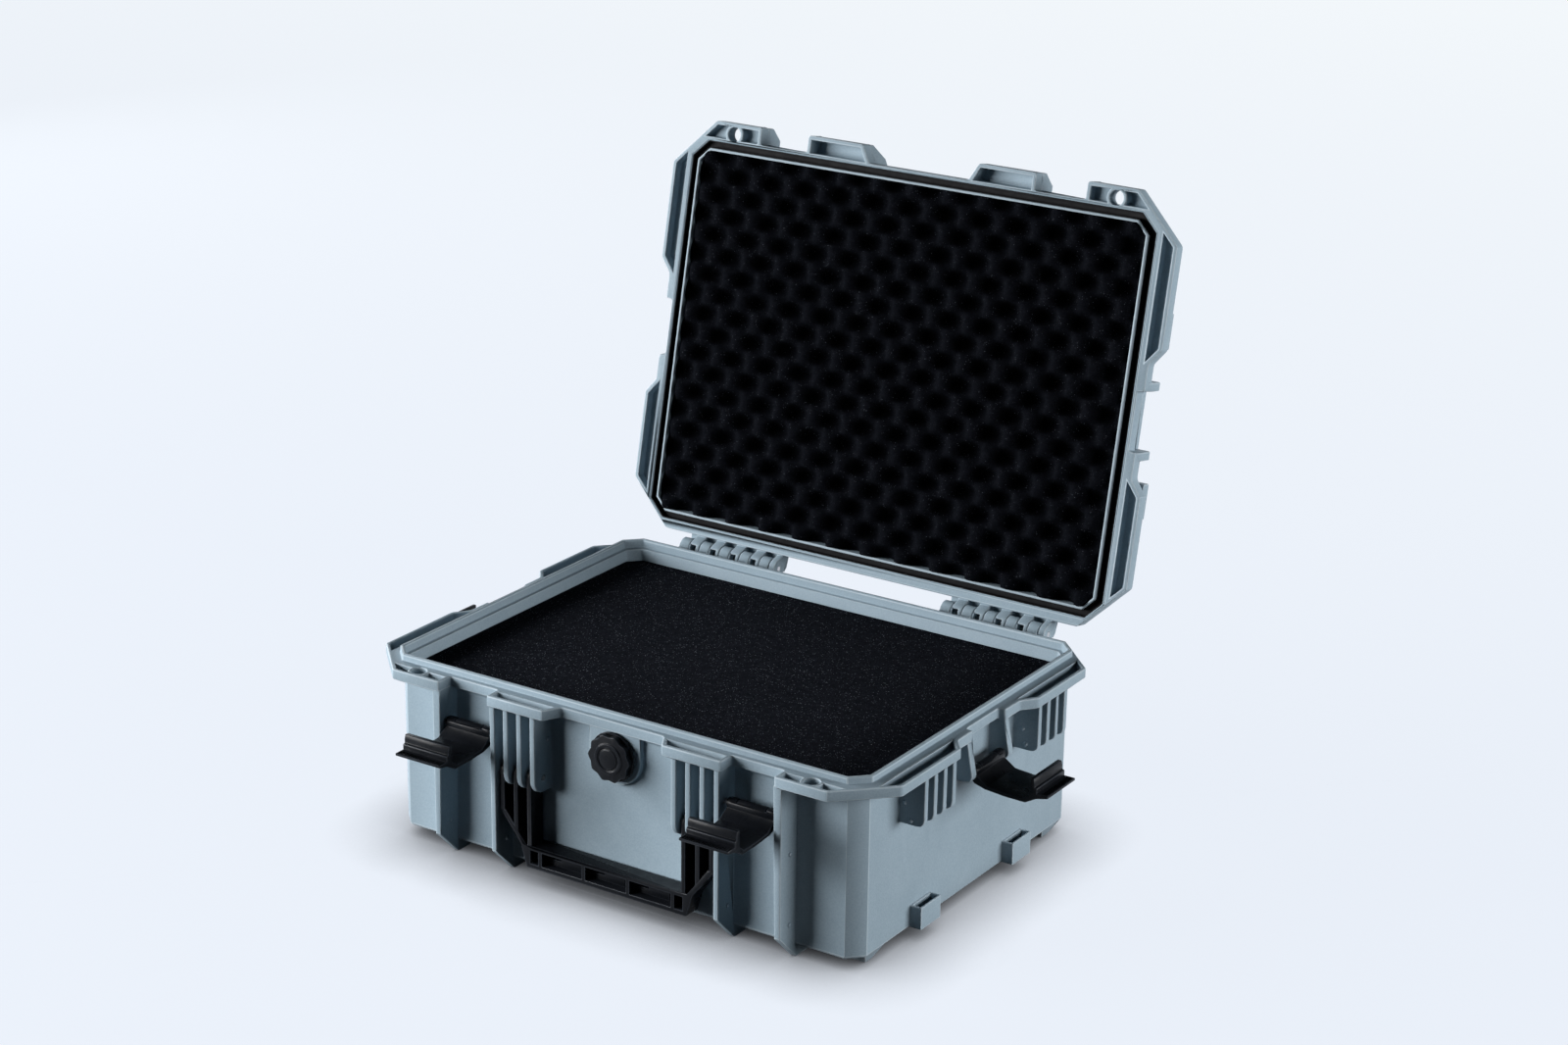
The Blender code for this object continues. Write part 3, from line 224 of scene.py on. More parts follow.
def mark_edges(piece: bpy.types.Object, before: BVHTree) -> None:
    """Write the attribute that tells the rounded outer edges from the other faces.

    Args:
        piece: The object after the rounding, whose new faces use the second material slot.
        before: The surface before the rounding, which lies outside a rounded outer edge.
    """
    mesh = piece.data
    marks = []
    for face in mesh.polygons:
        inside = 0.0
        if face.material_index == 1:
            spot, normal, _, _ = before.find_nearest(face.center)
            inside = 1.0 if (face.center - spot).dot(normal) < -TOUCHING else 0.0
        marks.append(inside)
    mesh.attributes.new(EDGE_MARK, "FLOAT", "FACE").data.foreach_set("value", marks)
    mesh.polygons.foreach_set("material_index", [0] * len(mesh.polygons))


def copy_node(nodes: Nodes, node: str, name: str) -> bpy.types.Object:
    """Copy a CAD node as a new piece with its loose triangles joined into clean faces.

    Args:
        nodes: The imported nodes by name.
        node: Name of the node to copy.
        name: Name of the new piece.

    Returns:
        The new object.
    """
    piece = bpy.data.objects.new(name, nodes[node].data.copy())
    bpy.context.scene.collection.objects.link(piece)
    with editing(piece):
        bpy.ops.mesh.remove_doubles(threshold=MERGE_GAP)
        bpy.ops.mesh.dissolve_degenerate(threshold=SLIVER)
        bpy.ops.mesh.dissolve_limited(angle_limit=FLAT_ANGLE)
        bpy.ops.mesh.quads_convert_to_tris(quad_method="BEAUTY", ngon_method="BEAUTY")
    return piece


def copy_piece(piece: bpy.types.Object, name: str, place: Matrix) -> bpy.types.Object:
    """Copy a modelled piece, with a mesh of its own, to another place.

    Args:
        piece: The piece that was modelled at the origin.
        name: Name of the copy.
        place: Where the copy goes.

    Returns:
        The copy, with its place in its mesh.
    """
    copy = bpy.data.objects.new(name, piece.data.copy())
    bpy.context.scene.collection.objects.link(copy)
    copy.data.transform(place)
    return copy


def dress(
    piece: bpy.types.Object, material: bpy.types.Material, body: str
) -> bpy.types.Object:
    """Give a piece its finish and let it ride on a body.

    Args:
        piece: The finished piece.
        material: Its material.
        body: The CAD body that it moves with.

    Returns:
        The same piece.
    """
    piece.data.materials.clear()
    piece.data.materials.append(material)
    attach(piece, body)
    LOG.info("%s rides on %s, %d faces", piece.name, body, len(piece.data.polygons))
    return piece


class NodeGraph:
    """Small wrapper that adds and links shader nodes in one tree.

    Attributes:
        MIX_FIRST: Place of the first colour among a Mix node's inputs.
        MIX_SECOND: Place of the second colour among them.
        MIX_RESULT: Place of the mixed colour among its outputs.
    """

    MIX_FIRST: ClassVar[int] = 6
    MIX_SECOND: ClassVar[int] = 7
    MIX_RESULT: ClassVar[int] = 2

    def __init__(self, tree: bpy.types.NodeTree) -> None:
        """Work in that node tree."""
        self.tree = tree

    def add(self, kind: str, **values: object) -> bpy.types.ShaderNode:
        """Add a node.

        Args:
            kind: Blender's name for the node type.
            values: Properties of the node, or default values of its inputs.

        Returns:
            The node.
        """
        node = self.tree.nodes.new(kind)
        for key, value in values.items():
            if hasattr(node, key):
                setattr(node, key, value)
            else:
                node.inputs[key.replace("_", " ").title()].default_value = value
        return node

    def link(self, source: Socket, target: Socket) -> None:
        """Join two sockets."""
        self.tree.links.new(source, target)

    def math(self, operation: str, first: Socket, second: object) -> Socket:
        """Join two values by a sum, product or other operation.

        Args:
            operation: Blender's name for it.
            first: The first value.
            second: The second value, a socket or a number.

        Returns:
            The result's socket.
        """
        node = self.add("ShaderNodeMath", operation=operation)
        self.link(first, node.inputs[0])
        if isinstance(second, float):
            node.inputs[1].default_value = second
        else:
            self.link(second, node.inputs[1])
        return node.outputs["Value"]

    def spread(
        self, source: Socket, low: float, high: float, start: float = 0.3, end: float = 0.7
    ) -> Socket:
        """Map a factor from start..end to low..high.

        Args:
            source: The factor.
            low: Value at start.
            high: Value at end.
            start: Factor that gives low.
            end: Factor that gives high.

        Returns:
            The mapped socket.
        """
        node = self.add("ShaderNodeMapRange", from_min=start, from_max=end, to_min=low, to_max=high)
        self.link(source, node.inputs["Value"])
        return node.outputs["Result"]

    def blend(self, factor: Socket, first: object, second: Colour) -> Socket:
        """Mix two colours by a factor.

        Args:
            factor: Zero gives the first colour and one the second.
            first: First colour, or the socket that gives it.
            second: Second colour.

        Returns:
            The colour socket.
        """
        node = self.add("ShaderNodeMix", data_type="RGBA")
        if isinstance(first, tuple):
            node.inputs[self.MIX_FIRST].default_value = (*first, 1.0)
        else:
            self.link(first, node.inputs[self.MIX_FIRST])
        node.inputs[self.MIX_SECOND].default_value = (*second, 1.0)
        self.link(factor, node.inputs["Factor"])
        return node.outputs[self.MIX_RESULT]


class MaterialGraph(NodeGraph):
    """Nodes of one material, with patterns on Object coordinates."""

    def __init__(self, name: str) -> None:
        """Start a node material of that name."""
        self.material = bpy.data.materials.new(name)
        self.material.use_nodes = True
        super().__init__(self.material.node_tree)
        self.shader = self.tree.nodes["Principled BSDF"]
        self.output = self.tree.nodes["Material Output"]
        self.coordinates = self.add("ShaderNodeTexCoord").outputs["Object"]

    def noise(self, size: float, detail: float = 2.0, roughness: float = 0.5) -> Socket:
        """Noise whose grains are about size metres across.

        Args:
            size: Size of one grain.
            detail: Octaves of finer grain.
            roughness: Strength of the finer grain.

        Returns:
            The noise's factor socket.
        """
        node = self.add("ShaderNodeTexNoise", scale=1.0 / size, detail=detail, roughness=roughness)
        self.link(self.coordinates, node.inputs["Vector"])
        return node.outputs["Fac"]

    def cells(self, size: float) -> bpy.types.ShaderNode:
        """Cells about size metres across."""
        node = self.add("ShaderNodeTexVoronoi", scale=1.0 / size)
        self.link(self.coordinates, node.inputs["Vector"])
        return node

    def bump(self, height: Socket, depth: float, under: Optional[Socket] = None) -> Socket:
        """Bump from a height factor.

        Args:
            height: Factor from zero to one.
            depth: Height in metres of a factor of one.
            under: Normal of a coarser bump below this one.

        Returns:
            The normal socket.
        """
        node = self.add("ShaderNodeBump")
        node.inputs["Distance"].default_value = depth
        self.link(height, node.inputs["Height"])
        if under is not None:
            self.link(under, node.inputs["Normal"])
        return node.outputs["Normal"]


@dataclass(frozen=True)
class PlasticFinish:
    """Moulded plastic or rubber with a spark-eroded grain and a painted highlight on its outer
    edges.

    Attributes:
        name: Name of the material.
        colour: Main colour.
        shade: Colour of the faint clouds and of the fine mottle in it.
        edge: Colour of the painted highlight on its outer edges.
        rough_low: Roughness of the smoothest spots.
        rough_high: Roughness of the dullest spots.
        specular: Strength of its mirror light.
        grain: Size of the coarse grain.
        grain_depth: Depth of the coarse grain.
        CLOUDS: Size of the clouds.
        CLOUD_SHARE: Most of the shade that the clouds bring in.
        SPECKS: Size of the fine mottle, in grains.
        SPECK_SHARE: Most of the shade that the mottle brings in.
        EDGE_HIGHLIGHT_PATCHES: Size of the patches in which the painted edge highlight is stronger
            or weaker.
        EDGE_HIGHLIGHT_LEAST: Strength of the painted edge highlight in its weakest patches.
        EDGE_HIGHLIGHT_GLOSS: Share of the roughness that is taken away where the edge highlight is
            painted.
        SCUFFS: Size of the dull and smooth patches.
        FINE: Size of the fine grain, in coarse grains.
        FINE_DEPTH: Depth of the fine grain, in depths of the coarse one.
    """

    CLOUDS: ClassVar[float] = 45 * MM
    CLOUD_SHARE: ClassVar[float] = 0.4
    SPECKS: ClassVar[float] = 1.3
    SPECK_SHARE: ClassVar[float] = 0.6
    EDGE_HIGHLIGHT_PATCHES: ClassVar[float] = 14 * MM
    EDGE_HIGHLIGHT_LEAST: ClassVar[float] = 0.55
    EDGE_HIGHLIGHT_GLOSS: ClassVar[float] = 0.4
    SCUFFS: ClassVar[float] = 9 * MM
    FINE: ClassVar[float] = 0.35
    FINE_DEPTH: ClassVar[float] = 0.3

    name: str
    colour: Colour
    shade: Colour
    edge: Colour
    rough_low: float
    rough_high: float
    specular: float
    grain: float
    grain_depth: float

    def build(self) -> bpy.types.Material:
        """Make the material."""
        graph = MaterialGraph(self.name)
        clouds = graph.noise(self.CLOUDS, detail=5.0, roughness=0.65)
        clouds = graph.spread(clouds, 0.0, self.CLOUD_SHARE)
        specks = graph.noise(self.SPECKS * self.grain, detail=3.0, roughness=0.7)
        specks = graph.spread(specks, 0.0, self.SPECK_SHARE, start=0.35, end=0.65)
        body = graph.blend(graph.math("ADD", clouds, specks), self.colour, self.shade)
        # Painted highlight: the rounded outer edges take the lighter edge colour, in patches.
        mark = graph.add("ShaderNodeAttribute", attribute_name=EDGE_MARK).outputs["Fac"]
        patches = graph.noise(self.EDGE_HIGHLIGHT_PATCHES, detail=4.0, roughness=0.7)
        edge_highlight = graph.math("MULTIPLY", mark, graph.spread(patches, self.EDGE_HIGHLIGHT_LEAST, 1.0))
        graph.link(graph.blend(edge_highlight, body, self.edge), graph.shader.inputs["Base Color"])
        scuffs = graph.noise(self.SCUFFS, detail=5.0, roughness=0.65)
        scuffs = graph.spread(scuffs, self.rough_low, self.rough_high)
        gloss = graph.math("MULTIPLY", edge_highlight, self.EDGE_HIGHLIGHT_GLOSS * self.rough_low)
        graph.link(graph.math("SUBTRACT", scuffs, gloss), graph.shader.inputs["Roughness"])
        graph.shader.inputs["Specular IOR Level"].default_value = self.specular
        coarse = graph.noise(self.grain, detail=1.0)
        coarse = graph.bump(coarse, self.grain_depth)
        fine = graph.noise(self.FINE * self.grain, roughness=0.6)
        fine = graph.bump(fine, self.FINE_DEPTH * self.grain_depth, coarse)
        graph.link(fine, graph.shader.inputs["Normal"])
        return graph.material


@dataclass(frozen=True)
class FoamFinish:
    """Open-cell black foam with fine light specks and painted shade in its cell hollows.

    Attributes:
        name: Name of the material.
        colour: Colour of the cell hollows, darkened as painted shade.
        lit: Colour of the lit cell edges round the painted shade of the hollows.
        speck: Colour of the sparse bright specks.
        cell: Size of a cell.
        speck_size: Distance between the places that may be a speck.
        speck_share: Share of those places that are one.
        CELL_DEPTH: Depth of a cell.
        CLOUDS: Size of the patches whose cell edges are brighter or darker.
        CLOUD_LEAST: Brightness of the cell edges in the darkest patches.
        ROUGHNESS: How dull the foam is.
    """

    CELL_DEPTH: ClassVar[float] = 0.4 * MM
    CLOUDS: ClassVar[float] = 6 * MM
    CLOUD_LEAST: ClassVar[float] = 0.35
    ROUGHNESS: ClassVar[float] = 0.95

    name: str
    colour: Colour
    lit: Colour
    speck: Colour
    cell: float
    speck_size: float
    speck_share: float

    def build(self) -> bpy.types.Material:
        """Make the material."""
        graph = MaterialGraph(self.name)
        # Painted shade: the cell hollows take the dark colour and the cell edges the lit one.
        edges = graph.cells(self.cell).outputs["Distance"]
        edges = graph.spread(edges, 0.0, 1.0, start=0.2, end=0.8)
        clouds = graph.noise(self.CLOUDS, detail=4.0, roughness=0.7)
        clouds = graph.spread(clouds, self.CLOUD_LEAST, 1.0)
        base = graph.blend(graph.math("MULTIPLY", edges, clouds), self.colour, self.lit)
        specks = graph.cells(self.speck_size)
        split = graph.add("ShaderNodeSeparateColor")
        graph.link(specks.outputs["Color"], split.inputs["Color"])
        chosen = graph.spread(split.outputs["Red"], 0.0, 1.0, start=1.0 - self.speck_share, end=1.0)
        near = graph.spread(specks.outputs["Distance"], 1.0, 0.0, start=0.15, end=0.45)
        both = graph.math("MULTIPLY", chosen, near)
        graph.link(graph.blend(both, base, self.speck), graph.shader.inputs["Base Color"])
        graph.shader.inputs["Roughness"].default_value = self.ROUGHNESS
        graph.shader.inputs["Specular IOR Level"].default_value = 0.0
        graph.link(graph.bump(edges, self.CELL_DEPTH), graph.shader.inputs["Normal"])
        return graph.material


@dataclass(frozen=True)
class SteelFinish:
    """Drawn steel of the pins.

    Attributes:
        name: Name of the material.
        colour: Colour of the metal.
        lines: Size of the drawn lines.
        rough_low: Roughness of the smoothest lines.
        rough_high: Roughness of the dullest lines.
    """

    name: str
    colour: Colour
    lines: float = 0.6 * MM
    rough_low: float = 0.22
    rough_high: float = 0.42

    def build(self) -> bpy.types.Material:
        """Make the material."""
        graph = MaterialGraph(self.name)
        graph.shader.inputs["Base Color"].default_value = (*self.colour, 1.0)
        graph.shader.inputs["Metallic"].default_value = 1.0
        lines = graph.noise(self.lines, detail=4.0, roughness=0.6)
        lines = graph.spread(lines, self.rough_low, self.rough_high)
        graph.link(lines, graph.shader.inputs["Roughness"])
        return graph.material


class Finishes:
    """The materials of the case, made once."""

    def __init__(self) -> None:
        """Make every material."""
        # The edge colour of each plastic finish is a painted highlight on its outer edges.
        self.shell = PlasticFinish(
            "grey_shell",
            colour=(0.252, 0.322, 0.375), shade=(0.196, 0.260, 0.308), edge=(0.345, 0.415, 0.465),
            rough_low=0.36, rough_high=0.48, specular=0.06, grain=1.0 * MM, grain_depth=0.09 * MM,
        ).build()
        self.polished = PlasticFinish(
            "grey_shell_polished",
            colour=(0.240, 0.312, 0.368), shade=(0.222, 0.292, 0.347), edge=(0.330, 0.400, 0.450),
            rough_low=0.12, rough_high=0.20, specular=0.6, grain=1.0 * MM, grain_depth=0.005 * MM,
        ).build()
        self.fitting = PlasticFinish(
            "black_plastic",
            colour=(0.0040, 0.0048, 0.0065), shade=(0.0055, 0.0065, 0.0085),
            edge=(0.022, 0.026, 0.033),
            rough_low=0.24, rough_high=0.36, specular=0.09, grain=0.7 * MM, grain_depth=0.02 * MM,
        ).build()
        self.rubber = PlasticFinish(
            "black_rubber",
            colour=(0.003, 0.003, 0.004), shade=(0.004, 0.004, 0.005), edge=(0.006, 0.006, 0.007),
            rough_low=0.6, rough_high=0.75, specular=0.1, grain=0.6 * MM, grain_depth=0.02 * MM,
        ).build()
        self.foam = FoamFinish(
            "black_foam",
            colour=(0.0042, 0.0048, 0.0066), lit=(0.019, 0.022, 0.029), speck=(0.25, 0.27, 0.31),
            cell=0.7 * MM, speck_size=0.95 * MM, speck_share=0.13,
        ).build()
        # The lid's foam is a darker copy of the base's foam: painted shade for its deep pits.
        self.lid_foam = FoamFinish(
            "black_foam_lid_painted_shade",
            colour=(0.0018, 0.0021, 0.0031), lit=(0.0085, 0.0098, 0.0130), speck=(0.10, 0.11, 0.13),
            cell=0.7 * MM, speck_size=0.95 * MM, speck_share=0.06,
        ).build()
        self.steel = SteelFinish("steel_pin", (0.52, 0.53, 0.55)).build()


@dataclass
class Hinge:
    """The line that the lid swings about.

    Attributes:
        y: Place along Y.
        z: Height.
        opening: Angle in degrees of the lid at rest.
    """

    y: float = 178.4 * MM
    z: float = 146.4 * MM
    opening: float = 102.1

    def swing(self, piece: bpy.types.Object) -> None:
        """Swing a piece that was modelled in the closed lid to the open lid."""
        place = Matrix.Translation((0.0, self.y, self.z))
        turn = Matrix.Rotation(math.radians(-self.opening), 4, "X")
        piece.data.transform(place @ turn @ place.inverted())


@dataclass
class KnuckleNotches:
    """Notches in the front of the open lid's hinge knuckles, which show the steel pin.

    Attributes:
        hinge: The line that the lid swings about.
        first: Middle of the first notch, from the middle of its hinge.
        pitch: Distance between notches.
        count: Notches in each hinge.
        apart: Distance between the two hinges.
        size: Width, depth and height of a notch.
        reach: How far a notch goes in past the axis.
        low: Height of a notch's floor over the axis.
    """

    hinge: Hinge
    first: float = -34.2 * MM
    pitch: float = 20.0 * MM
    count: int = 4
    apart: float = 254.0 * MM
    size: Point = (5.4 * MM, 12.0 * MM, 6.4 * MM)
    reach: float = 0.5 * MM
    low: float = -1.2 * MM

    def model(self) -> bpy.types.Object:
        """Model the blocks that the notches take away."""
        width, depth, height = self.size
        middle = (
            self.first - self.apart / 2,
            self.hinge.y + self.reach - depth / 2,
            self.hinge.z + self.low + height / 2,
        )
        cutter = add_shape(
            bpy.ops.mesh.primitive_cube_add, size=1.0, location=middle, scale=self.size
        )
        settle(cutter)
        repeat(cutter, (self.pitch, 0.0, 0.0), self.count)
        repeat(cutter, (self.apart, 0.0, 0.0), 2)
        return cutter

    def cut(self, shell: bpy.types.Object) -> None:
        """Take the notches out of the lid's shell."""
        cutter = self.model()
        cut = shell.modifiers.new("notches", "BOOLEAN")
        cut.operation = "DIFFERENCE"
        cut.solver = "EXACT"
        cut.object = cutter
        apply_modifiers(shell)
        bpy.data.objects.remove(cutter)


@dataclass
class MouldedShell:
    """One moulded shell with rounded edges.

    Attributes:
        node: The CAD node that it stands for.
        body: The body that it rides on.
        notches: Notches in its hinge knuckles, if it has any.
        radius: Rounding of its edges.
        segments: Faces across a rounded edge.
    """

    node: str
    body: str
    notches: Optional[KnuckleNotches] = None
    radius: float = 0.9 * MM
    segments: int = 3

    def build(self, nodes: Nodes, finish: bpy.types.Material) -> bpy.types.Object:
        """Make the shell.

        Args:
            nodes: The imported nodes.
            finish: Material of the shell.

        Returns:
            The finished piece.
        """
        piece = copy_node(nodes, self.node, f"{self.node}_rounded")
        if self.notches is not None:
            self.notches.cut(piece)
        round_edges(piece, self.radius, self.segments)
        dress(piece, finish, self.body)
        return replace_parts(piece, self.node)


@dataclass
class EjectorMarks:
    """Small round marks that the mould's ejector pins leave on the fins and pillars of the base.

    Attributes:
        radius: Radius of a mark.
        rise: How far it stands proud.
        crown: Share of the rise that is rounded.
        sides: Sides of its outline.
        smooth_angle: Edges sharper than this many degrees stay crisp in the shading.
        places: A point beside each mark, in millimetres, from where it goes to the nearest face.
    """

    radius: float = 1.9 * MM
    rise: float = 1.3 * MM
    crown: float = 0.85
    sides: int = 20
    smooth_angle: float = 35.0
    places: Tuple[Point, ...] = (
        (-150.0, -163.3, 29.4), (-98.6, -162.7, 28.6), (104.8, -163.0, 29.2),
        (158.8, -164.0, 29.2), (158.8, -164.0, 85.2), (-61.0, -159.0, 118.2),
        (216.5, -104.0, 118.7), (221.8, -104.0, 105.5), (219.5, 62.0, 119.0),
        (222.5, 62.0, 106.9), (219.5, -24.6, 116.2),
    )

    def model(self) -> bpy.types.Object:
        """Model one mark at the origin, facing up."""
        piece = add_shape(
            bpy.ops.mesh.primitive_cylinder_add,
            vertices=self.sides, radius=self.radius, depth=2 * self.rise,
        )
        with editing_faces(piece, faces_up):
            bpy.ops.mesh.bevel(offset=self.crown * self.rise, segments=4, profile=0.5)
        return piece

    def build(self, shell: bpy.types.Object, finish: bpy.types.Material) -> None:
        """Set a copy of the mark on every place.

        Args:
            shell: The base shell that carries them.
            finish: Material of the shell.
        """
        faces = surface_of(shell)
        model = self.model()
        for number, place in enumerate(self.places):
            spot, normal, _, _ = faces.find_nearest(Vector(place) * MM)
            turn = normal.to_track_quat("Z", "Y").to_matrix().to_4x4()
            name = f"ejector_mark_{number + 1:02d}"
            mark = copy_piece(model, name, Matrix.Translation(spot) @ turn)
            smooth(mark, self.smooth_angle)
            dress(mark, finish, "base")
        bpy.data.objects.remove(model)


@dataclass
class Fitting:
    """A smaller rigid piece whose CAD shape only needs rounded edges.

    Attributes:
        node: The CAD node that it stands for.
        body: The body that it rides on.
        slot: The record's material slot; not used.
        radius: Rounding of its edges.
        segments: Faces across a rounded edge.
    """

    node: str
    body: str
    slot: str
    radius: float
    segments: int = 2

    def build(self, nodes: Nodes, finish: bpy.types.Material) -> bpy.types.Object:
        """Make the fitting.

        Args:
            nodes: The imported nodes.
            finish: Material of the fitting.

        Returns:
            The finished piece.
        """
        piece = copy_node(nodes, self.node, f"{self.node}_rounded")
        round_edges(piece, self.radius, self.segments)
        dress(piece, finish, self.body)
        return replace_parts(piece, self.node)


@dataclass
class GripPad:
    """Stepped panel at the back of each pocket in the handle's grip.

    Attributes:
        width: Width of a pocket.
        low: Height of a pocket's floor.
        high: Height of a pocket's roof.
        back: Place of a pocket's back wall along Y.
        rise: How far the panel stands off the back wall.
        spacing: Distance between the middles of the pockets.
        sunk: How far the panel reaches into the back wall.
        share: Share of a pocket's width that the panel takes.
        shift: Middle of the panel from the middle of its pocket, in pocket widths.
        step_at: Place of the panel's step from the middle of its pocket, in pocket widths.
        step_drop: How far the step lies below the middle of the panel.
        edge: Rounding of its edges.
    """

    width: float = 36.96 * MM
    low: float = 18.8 * MM
    high: float = 29.6 * MM
    back: float = -160.0 * MM
    rise: float = 4.5 * MM
    spacing: float = 40.57 * MM
    sunk: float = 0.2 * MM
    share: float = 0.84
    shift: float = -0.08
    step_at: float = -0.16
    step_drop: float = 0.6 * MM
    edge: float = 0.4 * MM

    def model(self) -> bpy.types.Object:
        """Model one panel, in the middle pocket."""
        upright = (math.radians(90.0), 0.0, 0.0)
        piece = add_shape(bpy.ops.mesh.primitive_plane_add, size=1.0, rotation=upright)
        middle = (self.low + self.high) / 2
        piece.scale = (self.share * self.width, self.high - self.low, 1.0)
        piece.location = (self.shift * self.width, self.back + self.sunk, middle)
        settle(piece)
        step = (self.step_at * self.width, 0.0, middle - self.step_drop)
        with editing(piece):
            bpy.ops.mesh.bisect(plane_co=step, plane_no=(1.0, 0.0, 0.0))
            bpy.ops.mesh.select_all(action="SELECT")
            bpy.ops.mesh.bisect(plane_co=step, plane_no=(0.0, 0.0, 1.0))
        with editing_faces(piece, lambda face: face.center.x < step[0] and face.center.z > step[2]):
            bpy.ops.mesh.delete(type="FACE")
        with editing(piece):
            out = (0.0, -self.rise - self.sunk, 0.0)
            bpy.ops.mesh.extrude_region_move(TRANSFORM_OT_translate={"value": out})
            bpy.ops.mesh.select_all(action="SELECT")
            bpy.ops.mesh.normals_make_consistent(inside=False)
        round_edges(piece, self.edge, 2)
        return piece

    def build(self, finish: bpy.types.Material) -> None:
        """Set a panel in each of the three pockets."""
        model = self.model()
        for number in range(3):
            place = Matrix.Translation(((number - 1) * self.spacing, 0.0, 0.0))
            pad = copy_piece(model, f"grip_pad_{number + 1}", place)
            dress(pad, finish, "handle")
        bpy.data.objects.remove(model)


class LatchPlace(Enum):
    """Where a latch sits: the middle of its axis in millimetres and its turn about Z in degrees."""

    FRONT_LEFT = ((-128.65, -167.0, 114.2), -90.0)
    FRONT_RIGHT = ((128.65, -167.0, 114.2), -90.0)
    SIDE_LEFT = ((-223.5, 0.0, 114.2), 180.0)
    SIDE_RIGHT = ((223.5, 0.0, 114.2), 0.0)

    @property
    def node(self) -> str:
        """Name of the CAD node and of the body."""
        return f"latch_{self.name.lower()}"

    def frame(self) -> Matrix:
        """Frame of the latch: X outwards along its plate, Z up and the axis at zero."""
        place, turn = self.value
        turned = Matrix.Rotation(math.radians(turn), 4, "Z")
        return Matrix.Translation(Vector(place) * MM) @ turned


@dataclass
class Latch:
    """A folding latch with a row of small grip ribs on its finger tab.

    Attributes:
        place: Where it sits.
        radius: Rounding of its edges.
        tab_top: Height of the tab's upper face over the axis.
        tab_end: How far the ribs reach outwards from the axis.
        rib: Length, width and height of a rib.
        rib_top: Size of a rib's top, as shares of its foot.
        rib_edge: Rounding of a rib's edges.
        pitch: Distance between ribs.
        count: Number of ribs.
    """

    place: LatchPlace
    radius: float = 0.6 * MM
    tab_top: float = -3.96 * MM
    tab_end: float = 63.3 * MM
    rib: Point = (5.4 * MM, 1.0 * MM, 1.3 * MM)
    rib_top: Point = (0.9, 0.5, 1.0)
    rib_edge: float = 0.18 * MM
    pitch: float = 2.0 * MM
    count: int = 20

    def model_ribs(self) -> bpy.types.Object:
        """Model the row of ribs in the latch's own frame."""
        piece = add_shape(bpy.ops.mesh.primitive_cube_add, size=1.0, scale=self.rib)
        settle(piece)
        with editing_faces(piece, faces_up):
            bpy.ops.transform.resize(value=self.rib_top)
        round_edges(piece, self.rib_edge, 1)
        repeat(piece, (0.0, self.pitch, 0.0), self.count)
        start = -self.pitch * (self.count - 1) / 2
        first = (self.tab_end - self.rib[0] / 2, start, self.tab_top)
        piece.data.transform(Matrix.Translation(first))
        return piece

    def build(self, nodes: Nodes, finish: bpy.types.Material) -> None:
        """Make the latch and its ribs.

        Args:
            nodes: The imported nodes.
            finish: Material of the latch.
        """
        node = self.place.node
        Fitting(node, node, "black_plastic", self.radius).build(nodes, finish)
        ribs = self.model_ribs()
        ribs.name = f"{node}_grip_ribs"
        ribs.data.transform(self.place.frame())
        dress(ribs, finish, node)


@dataclass
class SealAndShadeFlap:
    """Thin black sheet that lines one wall of the seal's channel: partly the black seal, partly
    painted shade that darkens that deep channel.

    Attributes:
        name: Name of the piece.
        outside: How far its outer face lies outside the body's walls.
        thick: Thickness.
        low: Height of its free edge in the closed lid.
        high: Height of its root in the closed lid.
        half_x: Half of the body's width.
        half_y: Half of the body's depth.
        cut: Size of the body's cut corners.
        edge: Rounding of its edges.
    """

    name: str
    outside: float
    thick: float = 0.6 * MM
    low: float = 149.5 * MM
    high: float = 154.6 * MM
    half_x: float = 211.5 * MM
    half_y: float = 155.0 * MM
    cut: float = 11.5 * MM
    edge: float = 0.18 * MM

    def build(self, hinge: Hinge, finish: bpy.types.Material) -> bpy.types.Object:
        """Make the flap.

        Args:
            hinge: The line that the lid swings about.
            finish: Material of the seal.

        Returns:
            The finished piece.
        """
        foot = (0.0, 0.0, self.low)
        piece = add_shape(bpy.ops.mesh.primitive_plane_add, size=2.0, location=foot)
        piece.name = self.name
        piece.scale = (self.half_x + self.outside, self.half_y + self.outside, 1.0)
        settle(piece)
        corner = self.cut + self.outside * (2.0 - math.sqrt(2.0))
        with editing(piece):
            bpy.ops.mesh.bevel(offset=corner, segments=1, affect="VERTICES")
            bpy.ops.mesh.select_all(action="SELECT")
            bpy.ops.mesh.inset(thickness=self.thick, depth=0.0)
            bpy.ops.mesh.delete(type="FACE")
            bpy.ops.mesh.select_all(action="SELECT")
            rise = (0.0, 0.0, self.high - self.low)
            bpy.ops.mesh.extrude_region_move(TRANSFORM_OT_translate={"value": rise})
            bpy.ops.mesh.select_all(action="SELECT")
            bpy.ops.mesh.normals_make_consistent(inside=False)
        round_edges(piece, self.edge, 2)
        hinge.swing(piece)
        return dress(piece, finish, "lid")


@dataclass
class FoamPlan:
    """Eight-sided plan of the foam inside the walls.

    Attributes:
        half_x: Half of its width.
        half_y: Half of its depth.
        cut: Size of the cut corners.
    """

    half_x: float = 207.1 * MM
    half_y: float = 150.6 * MM
    cut: float = 8.9 * MM

    def trim(self, piece: bpy.types.Object) -> None:
        """Cut the four corners off a pad."""
        for x in (-1, 1):
            for y in (-1, 1):
                edge = (x * (self.half_x - self.cut / 2), y * (self.half_y - self.cut / 2), 0.0)
                with editing(piece):
                    bpy.ops.mesh.bisect(plane_co=edge, plane_no=(x, y, 0.0), clear_outer=True)


